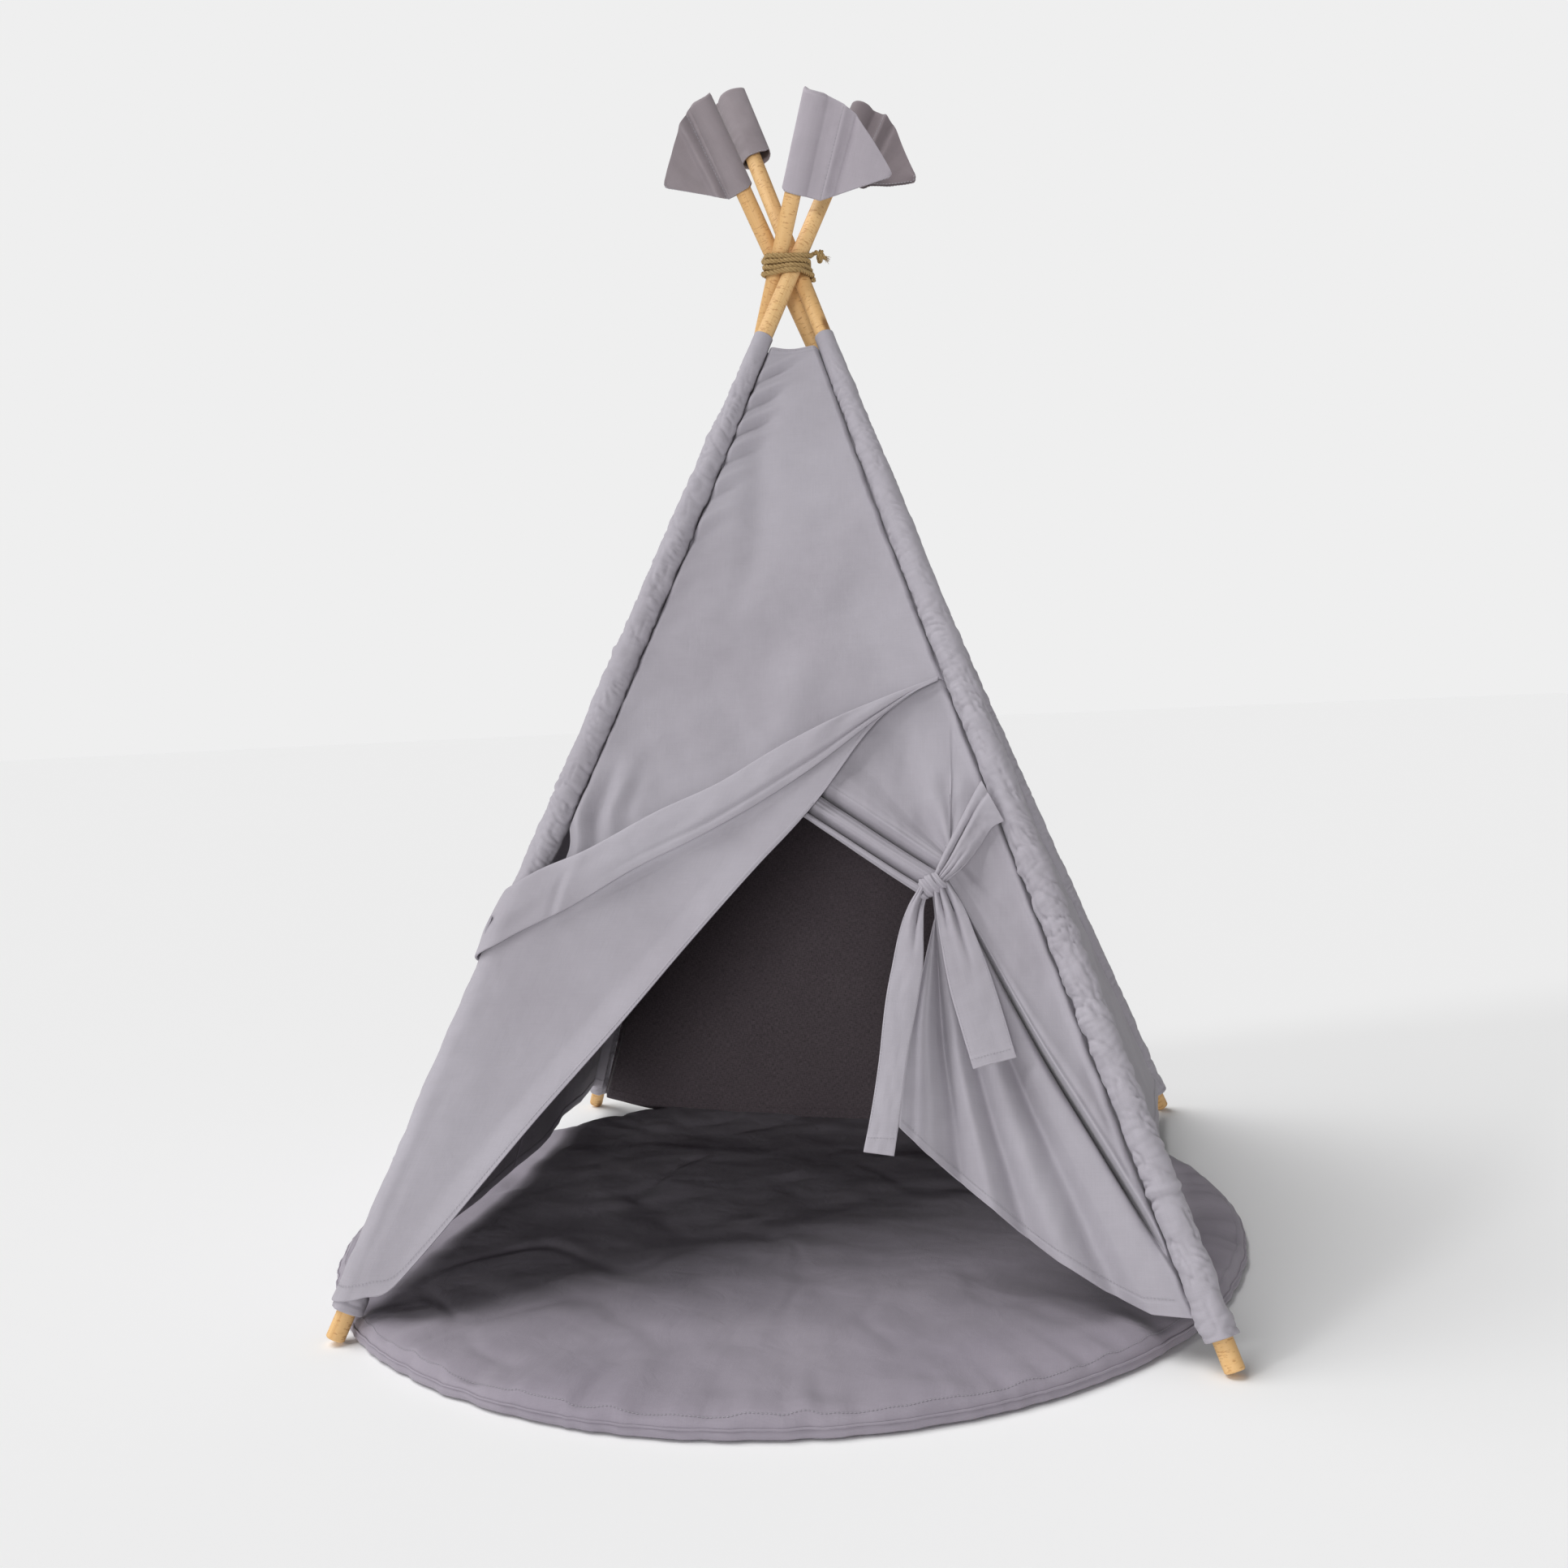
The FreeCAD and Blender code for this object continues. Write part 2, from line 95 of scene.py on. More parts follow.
def crease(value, width=0.25):
    """Turns smooth noise into thin ridges: 1 on its zero line, falling to 0 away from it."""
    return np.exp(-((value / width) ** 2))


def ramp(x, low, high):
    """0 below low, 1 above high, and a smooth rise between them."""
    s = np.clip((x - low) / (high - low), 0, 1)
    return s * s * (3 - 2 * s)


def bump(x, middle, width):
    return np.exp(-(((x - middle) / width) ** 2))


def through(points):
    """A curve through (a, b) points, as a function of a, rounded a little at its corners."""
    points = sorted(points)
    a, b = np.array([p[0] for p in points]), np.array([p[1] for p in points])
    slopes = np.gradient(b, a)

    def value(x):
        x = np.clip(x, a[0], a[-1])
        i = np.clip(np.searchsorted(a, x) - 1, 0, len(a) - 2)
        h = a[i + 1] - a[i]
        t = (x - a[i]) / h
        return (
            (2 * t**3 - 3 * t**2 + 1) * b[i]
            + (t**3 - 2 * t**2 + t) * h * slopes[i]
            + (3 * t**2 - 2 * t**3) * b[i + 1]
            + (t**3 - t**2) * h * slopes[i + 1]
        )

    return value


def unit(v):
    """The same directions with length 1."""
    return v / np.maximum(np.linalg.norm(v, axis=-1, keepdims=True), 1e-12)


def grid_normals(points, closed=False):
    """The normals of a grid of points; closed means that its last row is followed by its first."""
    if closed:
        du = np.roll(points, -1, 0) - np.roll(points, 1, 0)
    else:
        du = np.gradient(points, axis=0)
    return unit(np.cross(du, np.gradient(points, axis=1)))


def facing(normals, out, rows=slice(None)):
    """The normals, all turned over if those in rows point mostly against out."""
    return -normals if (normals[:, rows] * out).sum() < 0 else normals


def run_of(line):
    """The distance along a line at each of its points."""
    return np.concatenate([[0], np.cumsum(np.linalg.norm(np.diff(line, axis=0), axis=1))])


def sample(values, steps, at):
    """Points or directions, given at steps along a line, read off at other places along it."""
    return np.stack([np.interp(at, steps, values[:, k]) for k in range(3)], -1)


def ring_quads(count, levels):
    """The faces of a grid of count columns that closes on itself."""
    index = np.arange(count * levels).reshape(count, levels)
    after = np.roll(index, -1, 0)
    return np.stack([index[:, :-1], index[:, 1:], after[:, 1:], after[:, :-1]], -1).reshape(-1, 4)


def grid_area(points):
    """The area of a grid of points."""
    a, b = points[1:, :-1] - points[:-1, :-1], points[:-1, 1:] - points[:-1, :-1]
    return float(np.linalg.norm(np.cross(a, b), axis=-1).sum())


def frame_of(line, first=(0, 0, 1)):
    """Tangents and two side directions along a line, turned as little as possible."""
    tangents = unit(np.gradient(line, axis=0))
    side = np.array(first, float)
    sides = []
    for t in tangents:
        side = side - t * side.dot(t)
        side /= np.linalg.norm(side)
        sides.append(side.copy())
    sides = np.array(sides)
    return tangents, sides, np.cross(tangents, sides)


# ---------------------------------------------------------------- making pieces
class Piece:
    """Collects grids into one mesh. Each part has its own material number and cloth coordinates."""

    def __init__(self, name):
        self.name, self.count = name, 0
        self.verts, self.faces, self.uvs, self.mats, self.smooth = [], [], [], [], []

    def span(self, faces, material=0, smooth=True):
        """Faces over vertices that are there already."""
        self.faces.append(faces)
        self.mats.append(np.full(len(faces), material))
        self.smooth.append(np.full(len(faces), smooth))

    def add(self, verts, faces, uv, material=0):
        verts = np.asarray(verts, float).reshape(-1, 3)
        self.verts.append(verts)
        self.uvs.append(np.asarray(uv, float).reshape(-1, 2))
        self.span(np.asarray(faces, int) + self.count, material)
        self.count += len(verts)

    def cloth(self, points, uv, thickness, normals, closed=False):
        """A thick sheet over a grid of points; closed joins the last row of the grid to its first."""
        nu, nv = points.shape[:2]
        turned = (grid_normals(points, closed) * normals).sum() < 0
        half = np.broadcast_to(np.asarray(thickness, float), (nu, nv))[..., None] / 2
        index = np.arange(nu * nv).reshape(nu, nv)
        if closed:
            index = np.vstack([index, index[:1]])
        a, b, c, d = index[:-1, :-1], index[1:, :-1], index[1:, 1:], index[:-1, 1:]
        front = np.stack([a, b, c, d], -1).reshape(-1, 4)
        back = np.stack([a, d, c, b], -1).reshape(-1, 4) + nu * nv
        rims = [index[:, 0][::-1], index[:, -1]]
        if not closed:
            rims += [index[0, :], index[-1, :][::-1]]
        edges = [np.stack([r[:-1], r[1:], r[1:] + nu * nv, r[:-1] + nu * nv], -1) for r in rims]
        start, order = self.count, slice(None, None, -1 if turned else 1)
        both = np.concatenate([(points + normals * half * face).reshape(-1, 3) for face in (1, -1)])
        faces = np.concatenate([front, back])[:, order]
        self.add(both, faces, np.concatenate([uv.reshape(-1, 2)] * 2))
        for quads in edges:
            self.span(quads[:, order] + start, smooth=False)

    def tube(self, line, radius, sides, first=(0, 0, 1), flat=1.0, ridges=0):
        """A closed tube along a line; flat squeezes it and ridges gives it lengthwise folds."""
        line = np.asarray(line, float)
        _, u, v = frame_of(line, first)
        radius = np.broadcast_to(np.asarray(radius, float), (len(line),))
        angle = np.arange(sides) * 2 * math.pi / sides
        shape = 1 + (0.13 * np.cos(angle * ridges) if ridges else 0 * angle)
        ring = u[:, None] * (np.cos(angle) * shape)[None, :, None] * flat
        ring = ring + v[:, None] * (np.sin(angle) * shape)[None, :, None]
        points = line[:, None] + ring * radius[:, None, None]
        length = run_of(line)
        uv = np.stack(np.meshgrid(length, angle / (2 * math.pi) * 0.03, indexing="ij"), -1)
        n = len(line)
        index = np.arange(n * sides).reshape(n, sides)
        nxt = np.roll(index, -1, 1)
        quads = np.stack([index[:-1], nxt[:-1], nxt[1:], index[1:]], -1).reshape(-1, 4)
        low = np.stack([np.full(sides, n * sides), nxt[0], index[0], index[0]], -1)
        high = np.stack([np.full(sides, n * sides + 1), index[-1], nxt[-1], nxt[-1]], -1)
        ends_uv = [[length[0], 0], [length[-1], 0]]
        verts = np.concatenate([points.reshape(-1, 3), line[:1], line[-1:]])
        self.add(verts, np.concatenate([quads, low, high]), np.concatenate([uv.reshape(-1, 2), ends_uv]))

    def sew(self, points, normals, where, above, **thread):
        """Stitches along one line of a grid, above its surface."""
        self.stitches(points[where] + normals[where] * above, normals[where], **thread)

    def stitches(self, line, normals, pitch=0.0042, radius=0.00036):
        """A row of short raised stitches along a line on the cloth, in the piece's second material."""
        lift = 0.0004
        steps = run_of(line)
        count = int(steps[-1] / pitch)
        if count < 2:
            return
        at = (np.arange(count) + 0.5) * pitch
        up = unit(sample(normals, steps, at))
        a, b = sample(line, steps, at - pitch * 0.34), sample(line, steps, at + pitch * 0.34)
        side = np.cross(unit(b - a), up)
        verts = []
        for share, swell in ((0, 0.35), (0.18, 0.9), (0.5, 1.0), (0.82, 0.9), (1, 0.35)):
            middle = a + (b - a) * share + up * lift * (0.35 + 0.65 * math.sin(math.pi * share))
            for k in range(5):
                turn = k * 2 * math.pi / 5
                verts.append(middle + (side * math.cos(turn) + up * math.sin(turn)) * radius * swell)
        verts = np.stack(verts, 1)
        faces = []
        for ring in range(0, 20, 5):
            for k in range(5):
                m = (k + 1) % 5
                faces.append([ring + k, ring + 5 + k, ring + 5 + m, ring + m])
        for k in (1, 2, 3):
            faces.append([0, k, k + 1, k + 1])
            faces.append([20, 21 + k, 20 + k, 20 + k])
        faces = np.array(faces)[None] + (np.arange(count) * 25)[:, None, None]
        self.add(verts, faces.reshape(-1, 4), np.zeros((count * 25, 2)), material=1)

    def build(self, materials, body=None, replaces=()):
        mesh = bpy.data.meshes.new(self.name)
        verts = np.concatenate(self.verts)
        faces = [tuple(f[:3]) if f[2] == f[3] else tuple(f) for f in np.concatenate(self.faces).tolist()]
        mesh.from_pydata(verts.tolist(), [], faces)
        mesh.polygons.foreach_set("use_smooth", np.concatenate(self.smooth))
        mesh.polygons.foreach_set("material_index", np.concatenate(self.mats).astype(np.int32))
        layer = mesh.uv_layers.new(name="cloth")
        loops = np.zeros(len(mesh.loops), np.int32)
        mesh.loops.foreach_get("vertex_index", loops)
        layer.data.foreach_set("uv", np.concatenate(self.uvs)[loops].astype(np.float32).ravel())
        for material in materials:
            mesh.materials.append(material)
        mesh.update()
        piece = bpy.data.objects.new(self.name, mesh)
        bpy.context.scene.collection.objects.link(piece)
        if body:
            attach(piece, body)
        if replaces:
            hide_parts(*replaces)
        return piece


# ---------------------------------------------------------------- the frame's lines
CORNERS = ("front_left", "front_right", "back_right", "back_left")


def pole_axis(corner):
    """The pole's axis, from its CAD node: where it meets the floor, its direction and its top end."""
    mesh = NODES["pole_" + corner].data
    points = np.unique(np.round([tuple(v.co) for v in mesh.vertices], 6), axis=0)
    middle = points.mean(0)
    direction = np.linalg.svd(points - middle)[2][0]
    direction = direction * np.sign(direction[2])
    top = ((points - middle) @ direction).max()
    return middle - direction * middle[2] / direction[2], direction, middle + direction * top


AXES = {corner: pole_axis(corner) for corner in CORNERS}


def pole_at(corner, z):
    foot, direction, _ = AXES[corner]
    return foot + direction * (np.asarray(z, float) / direction[2])[..., None]


class Wall:
    """One side of the tent, between two poles. t runs from the left pole to the right one."""

    def __init__(self, left, right):
        self.left, self.right = left, right
        low = pole_at(right, 0.0) - pole_at(left, 0.0)
        middle_low, middle_high = ((pole_at(right, z) + pole_at(left, z)) / 2 for z in (0.0, 1.3))
        up = middle_high - middle_low
        self.normal = unit(np.cross(low, up))
        self.along = unit(low)

    def width(self, z):
        return np.linalg.norm(pole_at(self.right, z) - pole_at(self.left, z), axis=-1)

    def point(self, t, z, out=0.0):
        t, z, out = np.broadcast_arrays(np.asarray(t, float), np.asarray(z, float), np.asarray(out, float))
        a, b = pole_at(self.left, z), pole_at(self.right, z)
        return a + (b - a) * t[..., None] + self.normal * out[..., None]

    def share(self, x, z):
        """t for a distance x along the floor edge from the middle."""
        a, b = pole_at(self.left, z) @ self.along, pole_at(self.right, z) @ self.along
        return (x - a) / (b - a)

    def at(self, x, z, out=0.0):
        return self.point(self.share(np.asarray(x, float), z), z, out)


WALLS = {
    "front": Wall("front_left", "front_right"),
    "right": Wall("front_right", "back_right"),
    "back": Wall("back_right", "back_left"),
    "left": Wall("back_left", "front_left"),
}
FRONT = WALLS["front"]
SLEEVE_LOW, SLEEVE_HIGH = (c.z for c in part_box("sleeve_front_left"))
HEM, WALL_TOP = (c.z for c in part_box("back_panel"))


# ---------------------------------------------------------------- materials
def linear(r, g, b):
    def one(c):
        c /= 255
        return c / 12.92 if c <= 0.04045 else ((c + 0.055) / 1.055) ** 2.4

    return (one(r), one(g), one(b), 1)


class Graph:
    """A new material with its shader, and a little help for building its node tree."""

    def __init__(self, name):
        self.material = bpy.data.materials.new(name)
        self.material.use_nodes = True
        self.nodes, self.links = self.material.node_tree.nodes, self.material.node_tree.links
        self.nodes.clear()
        self.shader = self.nodes.new("ShaderNodeBsdfPrincipled")
        output = self.nodes.new("ShaderNodeOutputMaterial")
        self.links.new(self.shader.outputs["BSDF"], output.inputs["Surface"])

    def node(self, kind, **values):
        node = self.nodes.new("ShaderNode" + kind)
        for key, value in values.items():
            if hasattr(node, key) and key not in node.inputs:
                setattr(node, key, value)
            else:
                self.feed(node.inputs[key], value)
        return node

    def feed(self, socket, value):
        if hasattr(value, "is_output"):
            self.links.new(value, socket)
        else:
            socket.default_value = value

    def surface(self, **inputs):
        """Sets or links the shader's inputs; an underscore stands for the space in an input's name."""
        for key, value in inputs.items():
            self.feed(self.shader.inputs[key.replace("_", " ")], value)

    def math(self, operation, a, b):
        node = self.node("Math", operation=operation)
        self.feed(node.inputs[0], a)
        self.feed(node.inputs[1], b)
        return node.outputs[0]

    def noise(self, vector, scale, detail=2.0, rough=0.5, distortion=0.0):
        values = dict(Scale=scale, Detail=detail, Roughness=rough, Distortion=distortion)
        return self.node("TexNoise", Vector=vector, **values).outputs["Fac"]

    def stretch(self, vector, x, y, z):
        return self.node("Mapping", Vector=vector, Scale=(x, y, z)).outputs["Vector"]

    def mix(self, share, a, b, kind="MIX"):
        node = self.node("Mix", data_type="RGBA", blend_type=kind, Factor=share)
        self.feed(node.inputs[6], a)
        self.feed(node.inputs[7], b)
        return node.outputs[2]

    def spread(self, value, low, high, to_low=0.0, to_high=1.0):
        span = {"From Min": low, "From Max": high, "To Min": to_low, "To Max": to_high}
        return self.node("MapRange", Value=value, **span).outputs["Result"]

    def bump(self, height, distance, strength=1.0, normal=None):
        node = self.node("Bump", Strength=strength, Distance=distance, Height=height)
        if normal is not None:
            self.feed(node.inputs["Normal"], normal)
        return node.outputs["Normal"]


def cotton(name, colour, dark, melange=0.0, crumple=1.0, thread=0.00055, slub=26):
    """Woven cotton: crossed threads, slubs, soft uneven dye, and fine crumples in its surface."""
    g = Graph(name)
    cloth = g.node("UVMap", uv_map="cloth").outputs["UV"]
    place = g.node("TexCoord").outputs["Object"]
    threads = dict(wave_type="BANDS", Vector=cloth, Scale=0.314 / thread, Distortion=0.0)
    warp, weft = (g.node("TexWave", bands_direction=way, **threads).outputs["Fac"] for way in "XY")
    weave = g.math("MULTIPLY", warp, weft)
    slub_x = g.noise(g.stretch(cloth, slub, 900, 1), 1.0, 3.0, 0.6)
    slub_y = g.noise(g.stretch(cloth, 900, slub, 1), 1.0, 3.0, 0.6)
    slubs = g.math("ADD", slub_x, slub_y)
    dye = g.noise(place, 3.2, 4.0, 0.55)
    dye_fine = g.noise(place, 28.0, 3.0, 0.6)
    base = g.mix(g.spread(dye, 0.32, 0.68), dark, colour)
    fleck = g.spread(slubs, 0.72, 1.28, -1.0, 1.0)
    tone = g.math("ADD", 1.0, g.math("MULTIPLY", fleck, 0.035 + melange))
    tone = g.math("ADD", tone, g.spread(dye_fine, 0.3, 0.7, -0.022, 0.022))
    tone = g.math("ADD", tone, g.math("MULTIPLY", g.math("SUBTRACT", weave, 0.25), 0.05))
    # Painted shade: pointiness darkens the cloth in its creases and hollows, and lightens it on its ridges.
    painted_crease_shade = g.node("NewGeometry").outputs["Pointiness"]
    tone = g.math("ADD", tone, g.spread(painted_crease_shade, 0.46, 0.54, -0.07, 0.06))
    shade = g.node("CombineColor")
    for channel in ("Red", "Green", "Blue"):
        g.feed(shade.inputs[channel], tone)
    g.surface(Base_Color=g.mix(1.0, base, shade.outputs[0], "MULTIPLY"))
    g.surface(Roughness=g.spread(slubs, 0.7, 1.3, 0.78, 0.92))
    crumples = g.noise(place, 21.0, 4.0, 0.52, 0.6)
    pressed = g.noise(place, 7.0, 2.0, 0.5, 0.9)
    normal = g.bump(pressed, 0.010 * crumple, 0.35)
    normal = g.bump(crumples, 0.0035 * crumple, 0.38, normal)
    normal = g.bump(slubs, 0.00022, 0.55, normal)
    normal = g.bump(weave, 0.00012, 0.5, normal)
    g.surface(Normal=normal, Specular_IOR_Level=0.28, Sheen_Weight=0.18, Sheen_Roughness=0.45)
    return g.material


def thread_material(name, colour):
    g = Graph(name)
    place = g.node("TexCoord").outputs["Object"]
    tone = g.noise(place, 900.0, 2.0)
    low = tuple(c * 0.75 for c in colour[:3]) + (1,)
    g.surface(Base_Color=g.mix(tone, low, colour), Roughness=g.spread(tone, 0.3, 0.7, 0.55, 0.75))
    g.surface(Normal=g.bump(tone, 0.0001, 0.5))
    return g.material


def beech(corner, seed):
    """Turned beech: its grain follows the pole, with short rays across it and a few small knots."""
    g = Graph("beech_" + corner)
    turn = Vector(AXES[corner][1]).rotation_difference(Vector((0, 0, 1))).to_euler()
    place = g.node("TexCoord").outputs["Object"]
    shift = (seed * 0.71, seed * 0.37, seed * 0.53)
    along = g.node("Mapping", Vector=place, Rotation=turn, Location=shift).outputs["Vector"]
    grain = g.noise(g.stretch(along, 190, 190, 5.5), 1.0, 5.0, 0.62, 0.6)
    bands = g.noise(g.stretch(along, 30, 30, 1.8), 1.0, 3.0, 0.5, 0.4)
    rays = g.noise(g.stretch(along, 120, 120, 420), 1.0, 2.0, 0.55, 0.3)
    rings = g.noise(g.stretch(along, 24, 24, 260), 1.0, 3.0, 0.6, 0.2)
    knots = g.node("TexVoronoi", Vector=g.stretch(along, 18, 18, 7), Scale=1.0, Randomness=1.0)
    knot = g.spread(knots.outputs["Distance"], 0.05, 0.13, 1.0, 0.0)
    light, mid, deep = linear(233, 194, 138), linear(219, 172, 112), linear(176, 120, 68)
    wood = g.mix(g.spread(bands, 0.3, 0.7), mid, light)
    wood = g.mix(g.spread(grain, 0.56, 0.74, 0.0, 0.42), wood, deep)
    wood = g.mix(g.spread(rays, 0.57, 0.66, 0.0, 0.62), wood, deep)
    wood = g.mix(g.spread(rings, 0.54, 0.68, 0.0, 0.30), wood, mid)
    wood = g.mix(g.math("MULTIPLY", knot, 0.75), wood, linear(120, 74, 38))
    normal = g.bump(rings, 0.0007, 0.32, g.bump(grain, 0.0006, 0.30))
    g.surface(Base_Color=wood, Roughness=g.spread(grain, 0.35, 0.7, 0.48, 0.66))
    g.surface(Normal=normal, Specular_IOR_Level=0.35)
    return g.material


def jute(name):
    """Hairy natural fibre, lighter where its strands stand out."""
    g = Graph(name)
    cloth = g.node("UVMap", uv_map="cloth").outputs["UV"]
    place = g.node("TexCoord").outputs["Object"]
    fibre = g.noise(g.stretch(cloth, 130, 2600, 1), 1.0, 4.0, 0.65, 0.8)
    patch = g.noise(place, 70.0, 3.0, 0.6)
    low, high = linear(128, 98, 58), linear(214, 184, 132)
    colour = g.mix(g.spread(fibre, 0.34, 0.62), low, high)
    colour = g.mix(g.spread(patch, 0.35, 0.7, 0.0, 0.35), colour, linear(160, 128, 82))
    g.surface(Base_Color=colour, Roughness=g.spread(fibre, 0.3, 0.7, 0.78, 0.95))
    g.surface(Normal=g.bump(fibre, 0.0007, 0.8), Specular_IOR_Level=0.2)
    return g.material


cover = cotton("cover_cotton", linear(173, 169, 177), linear(163, 158, 166))
# The flags share one cotton in three tones. The first is a little lighter than the cover, which is painted
# light for the flag that faces the light. The two darker, browner ones are painted shade for the flags that
# face away from it.
flag_cotton = cotton("flag_cotton", linear(177, 170, 178), linear(167, 160, 168))
flag_painted_shade = cotton("flag_cotton_painted_shade", linear(149, 140, 144), linear(139, 130, 134))
flag_painted_deep_shade = cotton("flag_cotton_painted_deep_shade", linear(135, 125, 128), linear(125, 115, 119))
charcoal = cotton(
    "charcoal_melange", linear(93, 84, 88), linear(85, 76, 81), melange=0.46, thread=0.0008, slub=140
)
mat_cotton = cotton("mat_cotton", linear(157, 150, 160), linear(145, 138, 149), crumple=1.5)
thread = thread_material("grey_thread", linear(176, 173, 180))
dark_thread = thread_material("dark_thread", linear(112, 108, 113))
rope_jute = jute("jute_rope")


# ---------------------------------------------------------------- camera, lights and floor
def add_camera():
    """A camera before the tent and a little to its right, at half its height, turned slightly on its axis."""
    place, target, roll = Vector((0.354, -2.171, 0.757)), Vector((-0.0388, 0.0, 0.6412)), -0.0437
    back = (place - target).normalized()
    right = Vector((0, 0, 1)).cross(back).normalized()
    up = back.cross(right)
    image_right = right * math.cos(roll) + up * math.sin(roll)
    image_up = up * math.cos(roll) - right * math.sin(roll)
    data = bpy.data.cameras.new("camera")
    data.sensor_width, data.lens = 36, 33.77
    camera = bpy.data.objects.new("camera", data)
    rotation = Matrix((image_right, image_up, back)).transposed().to_4x4()
    camera.matrix_world = Matrix.Translation(place) @ rotation
    bpy.context.scene.collection.objects.link(camera)
    bpy.context.scene.camera = camera


def add_sun(name, towards, strength, softness):
    """A very soft light from one side. towards points from the tent to the light."""
    data = bpy.data.lights.new(name, "SUN")
    data.energy, data.angle = strength, math.radians(softness)
    light = bpy.data.objects.new(name, data)
    light.rotation_euler = Vector(towards).to_track_quat("Z", "Y").to_euler()
    bpy.context.scene.collection.objects.link(light)


def add_studio():
    """An even pale studio: the floor is lit to the same tone as what lies behind it."""
    scene = bpy.context.scene
    scene.view_settings.view_transform = "Standard"
    scene.view_settings.look = "None"
    world = bpy.data.worlds.new("studio")
    scene.world = world
    world.use_nodes = True
    background = world.node_tree.nodes["Background"]
    background.inputs["Color"].default_value = (1.0, 1.0, 1.0, 1)
    background.inputs["Strength"].default_value = 0.20
    seen = world.node_tree.nodes.new("ShaderNodeBackground")
    seen.inputs["Color"].default_value = linear(239, 239, 239)
    path = world.node_tree.nodes.new("ShaderNodeLightPath")
    mix = world.node_tree.nodes.new("ShaderNodeMixShader")
    links = world.node_tree.links
    links.new(path.outputs["Is Camera Ray"], mix.inputs[0])
    links.new(background.outputs[0], mix.inputs[1])
    links.new(seen.outputs[0], mix.inputs[2])
    links.new(mix.outputs[0], world.node_tree.nodes["World Output"].inputs["Surface"])
    add_sun("overhead", (-0.50, -0.02, 0.87), 2.13, 46)
    add_sun("front", (0.04, -0.99, 0.08), 1.12, 14)
    add_sun("key", (-0.72, -0.60, 0.48), 0.5, 10)
    floor = Piece("floor")
    radius = np.array([0.0001, 1, 2, 4, 8, 16, 60])
    around = 96
    angle = np.linspace(0, 2 * math.pi, around, endpoint=False)[:, None]
    ring = np.stack([np.cos(angle) * radius, np.sin(angle) * radius, 0 * angle * radius - 0.0002], -1)
    floor.add(ring, ring_quads(around, len(radius)), ring[..., :2])
    paper = Graph("floor_paper")
    tone = paper.noise(paper.node("TexCoord").outputs["Object"], 1.5, 2.0)
    colour = paper.mix(tone, (0.945, 0.945, 0.945, 1), (0.949, 0.949, 0.949, 1))
    paper.surface(Base_Color=colour, Roughness=1.0, Specular_IOR_Level=0.0)
    floor.build([paper.material])


add_camera()
add_studio()

# ---------------------------------------------------------------- poles
for number, corner in enumerate(CORNERS):
    node = NODES["pole_" + corner]
    node.data.materials.clear()
    node.data.materials.append(beech(corner, number + 1))
    node.data.polygons.foreach_set("use_smooth", [True] * len(node.data.polygons))


# ---------------------------------------------------------------- sleeves
def sleeve_radius(z):
    """The sleeve is slack over most of its length and close to the pole at its top."""
    return 0.0136 + 0.0056 * ramp(1.30 - z, 0.0, 0.32)


